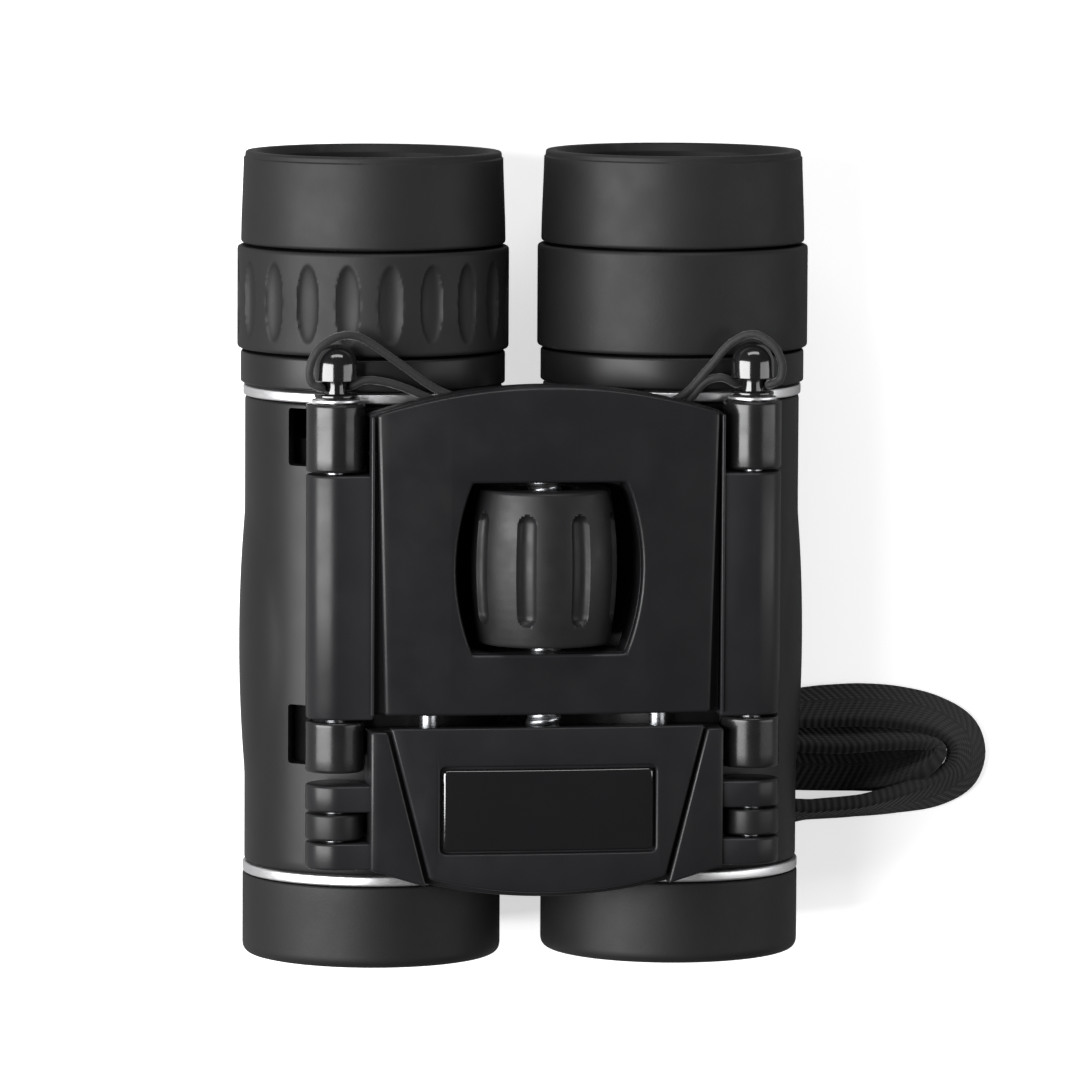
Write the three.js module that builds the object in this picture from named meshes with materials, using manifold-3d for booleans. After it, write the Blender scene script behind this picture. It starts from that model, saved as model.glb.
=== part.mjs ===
// Pocket binoculars with two folding hinges, lying folded with the bridge upwards.
// Millimetres. X runs across the two barrels, +Y points to the eyepieces, +Z is up.
// While the model is built, both optical axes lie at Z = 0 and Y = 0 is the middle of the bodies.

import * as THREE from 'three';
import { mergeVertices } from 'three/addons/utils/BufferGeometryUtils.js';
import Module from 'manifold-3d';

// ---- driving dimensions ----

// barrels
const axisSpacing = 34.4;
const bodyRadius = 14.5;
const bodyBore = 12.3;
const bodyFrontY = -35;
const bodyRearY = 18;
const neckRadius = 13.4;
const neckLength = 3.4;
const gripSwell = 0.65;
const gripSwellY = -10;
const trimRadius = 14.7;
const trimLength = 1.15;
const bellRadius = 14.7;
const bellLength = 9.2;
const bellMouthRadius = 12;
const bellRounding = 2.2;
const hoodRadius = 11.8;
const collarRadius = 15;
const collarLength = 3.6;
const gripRingRadius = 15.4;
const gripRingLength = 11.6;
const recessCount = 20;
const recessLength = 9;
const recessWidth = 2.9;
const recessDepth = 0.6;
const eyecupRadius = 15;
const eyecupTopRadius = 14.7;
const eyecupLength = 10.4;
const eyecupMouthRadius = 13.3;
const eyecupDepth = 5.8;

// eyepiece and prisms
const ocularRadius = 11.1;
const ocularBore = 9.4;
const ocularLipRadius = 8.2;
const eyeLensThickness = 3.6;
const fieldLensThickness = 3;
const prismHolderRadius = 10.5;
const prismHolderLength = 24;
const prismWidth = 12;
const prismHeight = 13.4;

// objective carriage
const carriageRadius = 12;
const carriageBore = 11.15;
const carriageTubeLength = 18;
const carriageFrontY = -34.2;
const objectiveRadius = 11;
const objectiveThickness = 3.6;
const railWidth = 6;
const railInnerRadius = 10.9;
const armThickness = 3;
const focusTravel = 1;

// hinges
const hingeAngle = 20.5;
const knuckleRadius = 3.3;
const shaftRadius = 1.2;
const rearKnuckleY = [11, 18.6];
const frontKnuckleY = [-22.7, -17];
const barrelLugY = [-30.3, -27.4];
const lugLength = 3;
const capRadius = 2.4;
const capLength = 6;
const capWaistRadius = 1.2;
const capWaistLength = 1.6;
const washerThickness = 0.3;
const slotReach = 48;

// bridge
const bridgeUnderside = 15.15;
const bridgeCrown = 21.65;
const bridgeFall = 0.75;
const coverThickness = 1.5;
const panelHalfWidth = 19.3;
const rearPlateY = [-16.2, 17.6];
const rearPlateBow = 3;
const platesGap = 1.4;
const frontPlateEndY = -34.6;
const frontPlateBow = 1.7;
const frontCreaseHalfWidths = [17.8, 13.4];
const labelSize = [24.4, 9.8];
const labelY = -26.9;
const labelThickness = 0.7;
const windowEndHalfWidth = 8.65;
const windowMidHalfWidth = 10.5;
const windowClearance = 0.9;

// focusing gear
const wheelRadius = 8.2;
const wheelEndRadius = 7.4;
const wheelLength = 17.4;
const wheelY = 0.25;
const wheelGrooves = 8;
const grooveLength = 12.4;
const grooveWidth = 2.2;
const grooveDepth = 0.8;
const screwRadius = 2;
const nutRadius = 3.6;
const nutInset = 0.8;
const guidePinRadius = 1;
const guidePinX = 13;
const coverScrewRadius = 0.8;
const coverScrewHeadRadius = 1.5;
const cordRoomY = 13.2;
const cordRoomHeight = 1.2;

// neck strap
const strapWidth = 6.2;
const strapThickness = 1.7;
const strapPitch = 2.2;
const hankRuns = 8;
const hankY = [-26.6, 14];
const ferruleRadius = 1.9;
const ferruleLength = 11;
const ferruleFrontY = -5;
const cordDiameter = 0.95;
const tieThickness = 0.5;
const tieWidth = 4;
const tieY = -10;

// clearances between neighbouring pieces
const gap = 0.3;
const runningGap = 0.15;
const hingeGap = 0.4;
const slideGap = 0.4;

// ---- places worked out from them ----

const barrelX = axisSpacing / 2;
const hingeDistance = bodyRadius + knuckleRadius + hingeGap;
const hingeTilt = THREE.MathUtils.degToRad(hingeAngle);
const hingeX = barrelX + hingeDistance * Math.sin(hingeTilt);
const hingeZ = hingeDistance * Math.cos(hingeTilt);
const rearTrimY = bodyRearY + runningGap;
const collarY = rearTrimY + trimLength + gap;
const gripRingY = collarY + collarLength + gap;
const eyecupY = gripRingY + gripRingLength + gap;
const eyecupTopY = eyecupY + eyecupLength;
const bellRearY = bodyFrontY - runningGap - trimLength - runningGap;
const bellFrontY = bellRearY - bellLength;
const ocularTopY = eyecupTopY - eyecupDepth;
const ocularFrontY = bodyRearY + gap;
const holderFrontY = bodyRearY - gap - prismHolderLength - 4;
const washerY = rearKnuckleY[1] + runningGap;
const capY = washerY + washerThickness + runningGap;
const rearSleeveY = [frontKnuckleY[1] + gap, rearKnuckleY[0] - gap];
const frontLugsY = [
  [barrelLugY[1] + gap, barrelLugY[1] + gap + lugLength],
  [barrelLugY[0] - gap - lugLength, barrelLugY[0] - gap],
];
const frontPlateTopY = rearPlateY[0] - platesGap;
const hankHalfWidth = ((hankRuns - 1) * strapPitch + strapThickness) / 2;
const restOffset = Math.sqrt((bodyRadius + gap) ** 2 - (barrelX - hankHalfWidth) ** 2);
// The barrels rest on the folded strap, high enough for two loose runs to pass under a bell.
const floorZ = -Math.max(strapWidth + restOffset, bellRadius + 2 * strapThickness);
const objectCentre = new THREE.Vector3(
  0,
  (eyecupTopY + bellFrontY) / 2,
  (hingeZ + wheelRadius - gripRingRadius) / 2,
);

// ---- solids ----

const manifold = await Module();
manifold.setup();

function signedVolume(positions, triangles) {
  let volume = 0;
  for (let i = 0; i < triangles.length; i += 3) {
    const corners = [0, 1, 2].map((k) => new THREE.Vector3().fromArray(positions, 3 * triangles[i + k]));
    volume += corners[0].dot(corners[1].cross(corners[2])) / 6;
  }
  return volume;
}

// A closed geometry as a solid, with its shared corners merged and its faces turned outwards.
function solid(geometry) {
  const bare = geometry.clone();
  bare.deleteAttribute('normal');
  bare.deleteAttribute('uv');
  const merged = mergeVertices(bare, 1e-4);
  const positions = merged.attributes.position.array;
  const triangles = [];
  for (let i = 0; i < merged.index.count; i += 3) {
    const [a, b, c] = merged.index.array.slice(i, i + 3);
    if (a !== b && b !== c && c !== a) triangles.push(a, b, c);
  }
  if (signedVolume(positions, triangles) < 0) triangles.reverse();
  return new manifold.Manifold(new manifold.Mesh({
    numProp: 3,
    vertProperties: new Float32Array(positions),
    triVerts: new Uint32Array(triangles),
  }));
}

function geometryOf(shape) {
  const mesh = shape.getMesh();
  const geometry = new THREE.BufferGeometry();
  geometry.setAttribute('position', new THREE.BufferAttribute(mesh.vertProperties, 3));
  geometry.setIndex(new THREE.BufferAttribute(mesh.triVerts, 1));
  geometry.computeVertexNormals();
  return geometry;
}

// A profile of [radius, y] points turned about the Y axis. A hollow one is closed back to its start.
function turned(profile, segments = 32) {
  const hollow = profile.every(([radius]) => radius > 0);
  const points = profile.map(([radius, y]) => new THREE.Vector2(radius, y));
  if (hollow) points.push(points[0].clone());
  return solid(new THREE.LatheGeometry(points, segments));
}

function tube(outer, inner, y0, y1, segments) {
  return turned([[inner, y0], [outer, y0], [outer, y1], [inner, y1]], segments);
}

function rod(radius, y0, y1, segments = 16) {
  return turned([[0, y0], [radius, y0], [radius, y1], [0, y1]], segments);
}

function block(x0, x1, y0, y1, z0, z1) {
  const box = new THREE.BoxGeometry(x1 - x0, y1 - y0, z1 - z0);
  return solid(box.translate((x0 + x1) / 2, (y0 + y1) / 2, (z0 + z1) / 2));
}

// An outline in X and Z, as long as from y0 to y1.
function alongY(outline, y0, y1) {
  const shape = new THREE.Shape(outline.map(([x, z]) => new THREE.Vector2(x, z)));
  const bar = new THREE.ExtrudeGeometry(shape, { depth: y1 - y0, bevelEnabled: false });
  return solid(bar.rotateX(Math.PI / 2).translate(0, y1, 0));
}

// An outline in X and Y, standing from z0 to z1.
function upright(outline, z0, z1) {
  const shape = new THREE.Shape(outline.map(([x, y]) => new THREE.Vector2(x, y)));
  const slab = new THREE.ExtrudeGeometry(shape, { depth: z1 - z0, bevelEnabled: false });
  return solid(slab.translate(0, 0, z0));
}

function sphere(radiusX, radiusY, radiusZ) {
  const ball = new THREE.SphereGeometry(1, 20, 12).scale(radiusX, radiusY, radiusZ);
  return solid(ball);
}

// Both halves of an outline that mirrors about X = 0, from the points of its +X half.
function mirrored(half) {
  return [...half, ...half.map(([x, y]) => [-x, y]).reverse()];
}

function arcPoints(centreX, centreY, radius, startDeg, endDeg, steps) {
  const points = [];
  for (let i = 0; i <= steps; i++) {
    const angle = THREE.MathUtils.degToRad(startDeg + ((endDeg - startDeg) * i) / steps);
    points.push([centreX + radius * Math.cos(angle), centreY + radius * Math.sin(angle)]);
  }
  return points;
}

// Turns a solid made towards +Z so that it points from a right-hand barrel to its hinge.
function towardsHinge(shape) {
  return shape.rotate([0, hingeAngle, 0]);
}

function atHinge(shape) {
  return shape.translate([0, 0, hingeDistance]);
}

// ---- materials ----

function finish(color, roughness, metalness = 0) {
  return new THREE.MeshStandardMaterial({ color, roughness, metalness });
}

const finishes = {
  shell: finish(0x1b1b1c, 0.5),
  rubber: finish(0x1d1d1e, 0.75),
  bridge: finish(0x18181a, 0.42),
  silver: finish(0xd8d9dc, 0.22, 1),
  steel: finish(0x9a9ca0, 0.35, 1),
  brass: finish(0xb08d3c, 0.35, 1),
  blackMetal: finish(0x111112, 0.25, 0.8),
  glass: finish(0x6f8fa8, 0.05),
  label: finish(0x050505, 0.08),
  inner: finish(0x222222, 0.8),
  webbing: finish(0x0f0f10, 0.9),
};

const binoculars = new THREE.Group();
binoculars.position.copy(objectCentre).negate();

function add(parent, name, shape, material) {
  const mesh = new THREE.Mesh(geometryOf(shape), material);
  mesh.name = name;
  parent.add(mesh);
}

// ---- barrels ----

// The moulded body: a tube with a threaded neck, a swollen outer flank, two slots and a hinge lug.
function barrelBody() {
  const neckFrontY = bodyFrontY - neckLength;
  const outer = turned([
    [0, neckFrontY], [neckRadius, neckFrontY], [neckRadius, bodyFrontY],
    [bodyRadius, bodyFrontY], [bodyRadius, bodyRearY], [0, bodyRearY],
  ], 40);
  const swellOffset = bodyRadius + gripSwell - carriageRadius;
  const swell = sphere(carriageRadius, 46, 12.2)
    .translate([swellOffset, gripSwellY, 0])
    .intersect(block(0, 20, bodyFrontY, bodyRearY, -12, 12));
  const lugRoot = block(-2, 2, barrelLugY[0], barrelLugY[1], neckRadius, hingeDistance);
  const lug = towardsHinge(lugRoot.add(atHinge(rod(knuckleRadius, ...barrelLugY, 20))));
  const reach = THREE.MathUtils.degToRad(slotReach - hingeAngle);
  const slotOuter = bodyRadius * Math.sin(reach);
  const slotInner = -(armThickness / 2 + gap);
  const slotTop = bodyRadius + knuckleRadius;
  const rearSlot = block(slotInner, slotOuter, rearKnuckleY[0], bodyRearY - 0.5, 10, slotTop);
  const frontSlot = block(slotInner, slotOuter, frontKnuckleY[0], frontKnuckleY[1] + focusTravel, 10, slotTop);
  return outer.add(swell).add(lug)
    .subtract(rod(bodyBore, neckFrontY - 1, bodyRearY + 1, 32))
    .subtract(towardsHinge(rearSlot))
    .subtract(towardsHinge(frontSlot))
    .subtract(towardsHinge(atHinge(rod(shaftRadius + runningGap, barrelLugY[0] - 1, barrelLugY[1] + 1))));
}

function objectiveBell() {
  const seatY = bodyFrontY - neckLength - gap;
  const rounding = arcPoints(bellRadius - bellRounding, bellFrontY + bellRounding, bellRounding, 0, -90, 4);
  return turned([
    [neckRadius + runningGap, bellRearY], [bellRadius, bellRearY], ...rounding,
    [bellMouthRadius, bellFrontY],
    [hoodRadius, seatY - 0.6], [hoodRadius, seatY], [neckRadius + runningGap, seatY],
  ]);
}

function eyepieceCollar() {
  const spigotRadius = bodyBore - runningGap;
  return turned([
    [ocularRadius + gap, bodyRearY - 0.3], [spigotRadius, bodyRearY - 0.3], [spigotRadius, collarY],
    [collarRadius, collarY], [collarRadius, collarY + collarLength - 0.3],
    [collarRadius - 0.3, collarY + collarLength], [ocularRadius + gap, collarY + collarLength],
  ]);
}

function gripRing() {
  const rearY = gripRingY + gripRingLength;
  return turned([
    [ocularRadius + gap, gripRingY], [gripRingRadius - 0.3, gripRingY], [gripRingRadius, gripRingY + 0.4],
    [gripRingRadius, rearY - 0.4], [gripRingRadius - 0.3, rearY], [ocularRadius + gap, rearY],
  ]);
}

// The dioptre ring has lens-shaped finger recesses pressed into its outside.
function dioptreRing() {
  const lensLength = recessLength / 2;
  const lensWidth = recessWidth / 2;
  let ring = gripRing();
  for (let i = 0; i < recessCount; i++) {
    const lens = solid(new THREE.SphereGeometry(1, 6, 4).scale(lensWidth, lensLength, recessDepth * 1.4))
      .translate([0, gripRingY + gripRingLength / 2, gripRingRadius + recessDepth * 0.4]);
    ring = ring.subtract(lens.rotate([0, (360 * i) / recessCount, 0]));
  }
  return ring;
}

function eyecup() {
  return turned([
    [ocularRadius + gap, eyecupY], [eyecupRadius - 0.2, eyecupY], [eyecupRadius, eyecupY + 0.4],
    [eyecupTopRadius, eyecupTopY - 0.5], [eyecupTopRadius - 0.4, eyecupTopY], [eyecupMouthRadius, eyecupTopY],
    [eyecupMouthRadius - 0.6, eyecupTopY - 0.8], [eyecupMouthRadius - 1.2, ocularTopY + 0.5],
    [ocularRadius + gap, ocularTopY],
  ]);
}

function ocularTube() {
  return turned([
    [ocularBore, ocularFrontY], [ocularRadius, ocularFrontY], [ocularRadius, ocularTopY],
    [ocularLipRadius, ocularTopY], [ocularLipRadius, ocularTopY - 0.8], [ocularBore, ocularTopY - 0.8],
  ]);
}

// A lens with bulging faces: `centreY` is its middle, `thickness` its middle thickness.
function lens(radius, centreY, thickness, bulge) {
  const edge = thickness / 2 - bulge;
  return turned([
    [0, centreY - thickness / 2], [radius * 0.55, centreY - edge - bulge * 0.7], [radius, centreY - edge],
    [radius, centreY + edge], [radius * 0.55, centreY + edge + bulge * 0.7], [0, centreY + thickness / 2],
  ], 24);
}

// A turned cell with a square channel in which the two prisms sit behind one another.
function prismHolder() {
  const rearY = holderFrontY + prismHolderLength;
  const halfWidth = prismWidth / 2 + gap;
  const halfHeight = prismHeight / 2 + gap;
  return rod(prismHolderRadius, holderFrontY, rearY, 32)
    .subtract(block(-halfWidth, halfWidth, holderFrontY - 1, rearY + 1, -halfHeight, halfHeight));
}

// Prism outlines are drawn in Y and Z; both slanted faces are parallel with an air gap between.
function prismSection(outline) {
  const halfWidth = prismWidth / 2;
  const shape = new THREE.Shape(outline.map(([y, z]) => new THREE.Vector2(y, z)));
  const bar = new THREE.ExtrudeGeometry(shape, { depth: prismWidth, bevelEnabled: false });
  return solid(bar.rotateY(Math.PI / 2).rotateX(Math.PI / 2).translate(-halfWidth, 0, 0));
}

function frontPrism() {
  const top = prismHeight / 2;
  const y = holderFrontY + 1;
  return prismSection([[y, -top], [y, top], [y + 4, top], [y + 14, -top]]);
}

function roofPrism() {
  const top = prismHeight / 2;
  const y = holderFrontY + 1 + 2 * gap;
  const rear = holderFrontY + prismHolderLength - 1;
  const wedge = prismSection([[y + 14, -top], [rear, -top], [rear, top * 0.3], [rear - 4, top], [y + 4, top]]);
  const roof = alongY(mirrored([[prismWidth / 2, -top], [prismWidth / 2, 1.5], [0.01, top]]), y, rear);
  return wedge.intersect(roof);
}

// The sliding objective carriage: a lens tube, a rail and two arms that end in the hinge knuckles.
function objectiveCarriage() {
  const tubeRearY = carriageFrontY + carriageTubeLength;
  const railRearY = rearKnuckleY[1] - 2.4;
  const rail = rod(carriageRadius, tubeRearY - 0.5, railRearY, 36)
    .subtract(rod(railInnerRadius, tubeRearY - 2, railRearY + 1, 36))
    .intersect(towardsHinge(block(-railWidth / 2, railWidth / 2, tubeRearY - 1, railRearY, 8, carriageRadius)));
  let carriage = tube(carriageRadius, carriageBore, carriageFrontY, tubeRearY, 36).add(rail);
  for (const [y0, y1] of [rearKnuckleY, frontKnuckleY]) {
    const armFrontY = y0 + focusTravel + gap;
    const armRearY = Math.min(y1, bodyRearY - 0.5) - focusTravel - gap;
    const arm = block(-armThickness / 2, armThickness / 2, armFrontY, armRearY, carriageBore + 0.1, hingeDistance);
    carriage = carriage.add(towardsHinge(arm.add(atHinge(rod(knuckleRadius, y0, y1, 20)))));
  }
  const bore = rod(shaftRadius + runningGap, frontKnuckleY[0] - 1, rearKnuckleY[1] + 1);
  return carriage.subtract(towardsHinge(atHinge(bore)));
}

function objectiveRetainer() {
  const frontY = carriageFrontY;
  return tube(carriageBore - runningGap, objectiveRadius - 0.9, frontY, frontY + 1, 36);
}

function hingeCap() {
  const waistRearY = capY + 0.4 + capWaistLength;
  const domeY = capY + capLength - capRadius;
  const dome = arcPoints(0, domeY, capRadius, 0, 75, 3);
  return turned([
    [0, capY], [capRadius, capY], [capRadius, capY + 0.4], [capWaistRadius, capY + 0.4],
    [capWaistRadius, waistRearY], [capRadius, waistRearY], ...dome, [0, capY + capLength],
  ], 16);
}

const sides = [
  { name: 'right', sign: 1, ring: 'plain_grip_ring' },
  { name: 'left', sign: -1, ring: 'dioptre_ring' },
];

function buildBarrel({ name, sign, ring }) {
  const barrel = new THREE.Group();
  barrel.position.x = sign * barrelX;
  binoculars.add(barrel);
  const place = (piece, shape, material) => {
    add(barrel, `${name}_${piece}`, sign > 0 ? shape : shape.mirror([1, 0, 0]), material);
  };
  place('barrel_body', barrelBody(), finishes.shell);
  place('objective_bell', objectiveBell(), finishes.rubber);
  const frontTrimY = bodyFrontY - runningGap - trimLength;
  place('front_trim_ring', tube(trimRadius, neckRadius + runningGap, frontTrimY, frontTrimY + trimLength),
    finishes.silver);
  place('rear_trim_ring', tube(trimRadius, bodyBore + runningGap, rearTrimY, rearTrimY + trimLength),
    finishes.silver);
  place('eyepiece_collar', eyepieceCollar(), finishes.shell);
  place(ring, ring === 'dioptre_ring' ? dioptreRing() : gripRing(), finishes.rubber);
  place('eyecup', eyecup(), finishes.rubber);
  place('ocular_tube', ocularTube(), finishes.inner);
  const eyeLensY = ocularTopY - 1 - eyeLensThickness / 2;
  place('eye_lens', lens(ocularBore - runningGap, eyeLensY, eyeLensThickness, 1), finishes.glass);
  const fieldLensY = ocularFrontY + 1 + fieldLensThickness / 2;
  place('field_lens', lens(ocularBore - runningGap, fieldLensY, fieldLensThickness, 0.7), finishes.glass);
  place('prism_holder', prismHolder(), finishes.inner);
  place('front_prism', frontPrism(), finishes.glass);
  place('roof_prism', roofPrism(), finishes.glass);
  place('objective_carriage', objectiveCarriage(), finishes.shell);
  const objectiveY = carriageFrontY + 1 + gap + objectiveThickness / 2;
  place('objective_lens', lens(objectiveRadius, objectiveY, objectiveThickness, 0.9), finishes.glass);
  place('objective_retainer', objectiveRetainer(), finishes.blackMetal);
  const shaft = rod(shaftRadius, frontKnuckleY[0] + 0.4, capY - runningGap);
  place('hinge_shaft', towardsHinge(atHinge(shaft)), finishes.steel);
  const pin = rod(shaftRadius, frontLugsY[1][0] + 0.4, frontLugsY[0][1] - 0.4);
  place('front_hinge_pin', towardsHinge(atHinge(pin)), finishes.steel);
  place('hinge_cap', towardsHinge(atHinge(hingeCap())), finishes.blackMetal);
  const washer = tube(capRadius + 0.3, shaftRadius + runningGap, washerY, washerY + washerThickness, 20);
  place('cap_washer', towardsHinge(atHinge(washer)), finishes.silver);
}

sides.forEach(buildBarrel);

// ---- bridge ----

function crownAt(x) {
  return bridgeCrown - bridgeFall * (x / panelHalfWidth) ** 2;
}

function crownLine(halfWidth, drop, steps = 6) {
  const points = [];
  for (let i = 0; i <= steps; i++) {
    const x = halfWidth * (1 - i / steps);
    if (x > 0) points.push([x, crownAt(x) - drop]);
  }
  return points;
}

// Half the outline of a plate in plan: it widens from its front edge to its rear edge, and both
// ends bow outwards.
function platePlan(frontHalf, frontY, frontBow, rearHalf, rearY, rearBow) {
  const points = [];
  const steps = 8;
  for (let i = 0; i <= steps; i++) {
    const x = (frontHalf * (i + 0.01)) / (steps + 0.01);
    points.push([x, frontY - frontBow * (1 - (x / frontHalf) ** 2)]);
  }
  for (let i = steps; i >= 0; i--) {
    const x = (rearHalf * (i + 0.01)) / (steps + 0.01);
    points.push([x, rearY + rearBow * (1 - (x / rearHalf) ** 2)]);
  }
  return upright(mirrored(points), bridgeUnderside - 10, bridgeCrown + 5);
}

// The lower shell of a bridge: a slab under the cover with a shoulder on both sides.
function bridgeSlab(y0, y1, panel) {
  const seat = alongY(mirrored([
    [hingeX - knuckleRadius - gap, bridgeUnderside],
    [hingeX - knuckleRadius - gap, crownAt(panelHalfWidth) - 0.4],
    [panelHalfWidth, crownAt(panelHalfWidth) - 0.2], ...crownLine(panelHalfWidth * 0.98, 0),
  ]), y0, y1);
  return seat.subtract(panel);
}

// The room that a cover needs above its seat.
function coverRoom(y0, y1, plan) {
  const under = crownLine(panelHalfWidth + 4, coverThickness + gap);
  const high = bridgeCrown + 5;
  const outline = mirrored([[0.01, high], [panelHalfWidth + 4, high], ...under]);
  return alongY(outline, y0, y1).intersect(plan);
}

function coverBlank(y0, y1) {
  const top = crownLine(panelHalfWidth + 4, 0);
  const under = crownLine(panelHalfWidth + 4, coverThickness).reverse();
  const outline = [...top, ...top.map(([x, z]) => [-x, z]).reverse()];
  const below = [...under.map(([x, z]) => [-x, z]).reverse(), ...under];
  return alongY([...outline, ...below], y0, y1);
}

// A hinge sleeve on each side with the shoulder that joins it to the plate.
function sleeves(shape, y0, y1) {
  let joined = shape;
  for (const sign of [1, -1]) {
    const x = sign * hingeX;
    const inner = sign * (panelHalfWidth + gap);
    const shoulder = block(Math.min(x, inner), Math.max(x, inner), y0, y1, hingeZ - 0.8, hingeZ + knuckleRadius);
    joined = joined.add(rod(knuckleRadius, y0, y1, 20).translate([x, 0, hingeZ])).add(shoulder);
  }
  for (const sign of [1, -1]) {
    const bore = rod(shaftRadius + runningGap, y0 - 1, y1 + 1);
    joined = joined.subtract(bore.translate([sign * hingeX, 0, hingeZ]));
  }
  return joined;
}

function wheelWindow() {
  const y0 = wheelY - wheelLength / 2 - windowClearance;
  const y1 = wheelY + wheelLength / 2 + windowClearance;
  const half = [];
  const steps = 8;
  for (let i = 0; i <= steps; i++) {
    const across = (2 * i) / steps - 1;
    const x = windowMidHalfWidth - (windowMidHalfWidth - windowEndHalfWidth) * across ** 2;
    half.push([x, y0 + ((y1 - y0) * i) / steps]);
  }
  return upright(mirrored(half), bridgeUnderside - 5, bridgeCrown + 5);
}

const bridge = new THREE.Group();
binoculars.add(bridge);

const screwEndY = rearPlateY[1] - 3;
const screwFrontY = frontPlateEndY + 2;
const coverScrewPlaces = [
  [15.5, 3],
  [-15.5, 3],
];
const coverScrewTop = crownAt(15.5) - coverThickness - gap;

function rearCoverPlan(inset) {
  return platePlan(panelHalfWidth - 0.9 - inset, rearPlateY[0] + inset, 0, panelHalfWidth - inset,
    rearPlateY[1] - inset, rearPlateBow);
}

function drilled(shape, holes) {
  return holes.reduce((left, hole) => left.subtract(hole), shape);
}

// Holes of the centre screw and of the two guide pins, which run along Y at the hinge's height.
function gearHoles(extra, y0, y1) {
  const centre = rod(screwRadius + extra, y0, y1, 20).translate([0, 0, hingeZ]);
  const pins = [1, -1].map((sign) => rod(guidePinRadius + extra, y0, Math.min(y1, wheelY), 12)
    .translate([sign * guidePinX, 0, hingeZ]));
  return [centre, ...pins];
}

function rearFrame() {
  const y0 = rearPlateY[0];
  const y1 = rearPlateY[1] + rearPlateBow;
  const plan = platePlan(hingeX, y0, 0, hingeX, rearPlateY[1] - 1.4, rearPlateBow + 1.4);
  const slab = bridgeSlab(y0, y1, coverRoom(y0 - 1, y1 + 1, rearCoverPlan(-gap))).intersect(plan);
  const screwHoles = coverScrewPlaces.flatMap(([x, y]) => [
    new THREE.CylinderGeometry(coverScrewRadius + runningGap, coverScrewRadius + runningGap, 20, 12),
    new THREE.CylinderGeometry(coverScrewHeadRadius + gap, coverScrewHeadRadius + gap, 2.4, 12),
  ].map((hole, i) => solid(hole.rotateX(Math.PI / 2).translate(x, y, i ? bridgeUnderside : bridgeCrown))));
  const cordRoom = block(-panelHalfWidth, panelHalfWidth, cordRoomY, y1 + 1, 0, bridgeUnderside + cordRoomHeight);
  return drilled(sleeves(slab, ...rearSleeveY).subtract(wheelWindow()), [
    ...gearHoles(2 * runningGap, y0 - 2, screwEndY + focusTravel + 1), ...screwHoles, cordRoom,
  ]);
}

function rearCover() {
  return coverBlank(rearPlateY[0], rearPlateY[1] + rearPlateBow)
    .intersect(rearCoverPlan(0)).subtract(wheelWindow());
}

function coverScrew(x, y) {
  const headY = bridgeUnderside + 0.2;
  const screw = new THREE.LatheGeometry([
    new THREE.Vector2(0, headY), new THREE.Vector2(coverScrewHeadRadius, headY),
    new THREE.Vector2(coverScrewHeadRadius, headY + 0.7), new THREE.Vector2(coverScrewRadius, headY + 0.7),
    new THREE.Vector2(coverScrewRadius, coverScrewTop), new THREE.Vector2(0, coverScrewTop),
  ], 12);
  return solid(screw.rotateX(Math.PI / 2)).translate([x, y, 0]);
}

function frontCoverPlan(inset) {
  const [rearHalf, frontHalf] = frontCreaseHalfWidths;
  return platePlan(frontHalf - inset, frontPlateEndY + inset, frontPlateBow, rearHalf - inset,
    frontPlateTopY - inset, 0);
}

function labelPlan(inset) {
  const [width, height] = labelSize;
  return block(-width / 2 + inset, width / 2 - inset, labelY - height / 2 + inset,
    labelY + height / 2 - inset, bridgeCrown - labelThickness - gap - 1, bridgeCrown + 5);
}

function frontFrame() {
  const y0 = frontPlateEndY - frontPlateBow;
  const plan = platePlan(hingeX - knuckleRadius - gap, frontLugsY[1][0], frontPlateBow + 1.6, hingeX,
    frontPlateTopY - slideGap, 0);
  const room = coverRoom(y0 - 1, frontPlateTopY + 1, frontCoverPlan(-gap));
  const slab = bridgeSlab(y0, frontPlateTopY, room).intersect(plan);
  const withLugs = frontLugsY.reduce((shape, [lugY0, lugY1]) => sleeves(shape, lugY0, lugY1), slab);
  return drilled(withLugs, gearHoles(runningGap, screwFrontY - gap, frontPlateTopY + 2));
}

function frontCover() {
  const seatDepth = labelThickness + gap;
  const recess = labelPlan(0).intersect(coverBlank(-60, 0).translate([0, 0, coverThickness - seatDepth]));
  return coverBlank(frontPlateEndY - frontPlateBow, frontPlateTopY)
    .intersect(frontCoverPlan(0)).subtract(recess);
}

function labelPlate() {
  const reach = labelSize[1];
  const top = coverBlank(labelY - reach, labelY + reach);
  const under = top.translate([0, 0, coverThickness - labelThickness]);
  return top.intersect(under).intersect(labelPlan(gap));
}

// The barrel-shaped focusing wheel, with round-ended finger grooves.
function focusWheel() {
  const half = wheelLength / 2;
  const steps = 6;
  const rim = [];
  for (let i = 0; i <= steps; i++) {
    const across = (2 * i) / steps - 1;
    rim.push([wheelRadius - (wheelRadius - wheelEndRadius) * across ** 2, wheelY + half * across]);
  }
  let wheel = turned([[nutRadius + runningGap, wheelY - half], ...rim, [nutRadius + runningGap, wheelY + half]]);
  for (let i = 0; i < wheelGrooves; i++) {
    const groove = solid(new THREE.CapsuleGeometry(grooveWidth / 2, grooveLength - grooveWidth, 1, 6)
      .scale(1, 1, grooveDepth / (grooveWidth / 2))).translate([0, wheelY, wheelRadius]);
    wheel = wheel.subtract(groove.rotate([0, (360 * (i + 0.5)) / wheelGrooves, 0]));
  }
  return wheel.translate([0, 0, hingeZ]);
}

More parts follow.
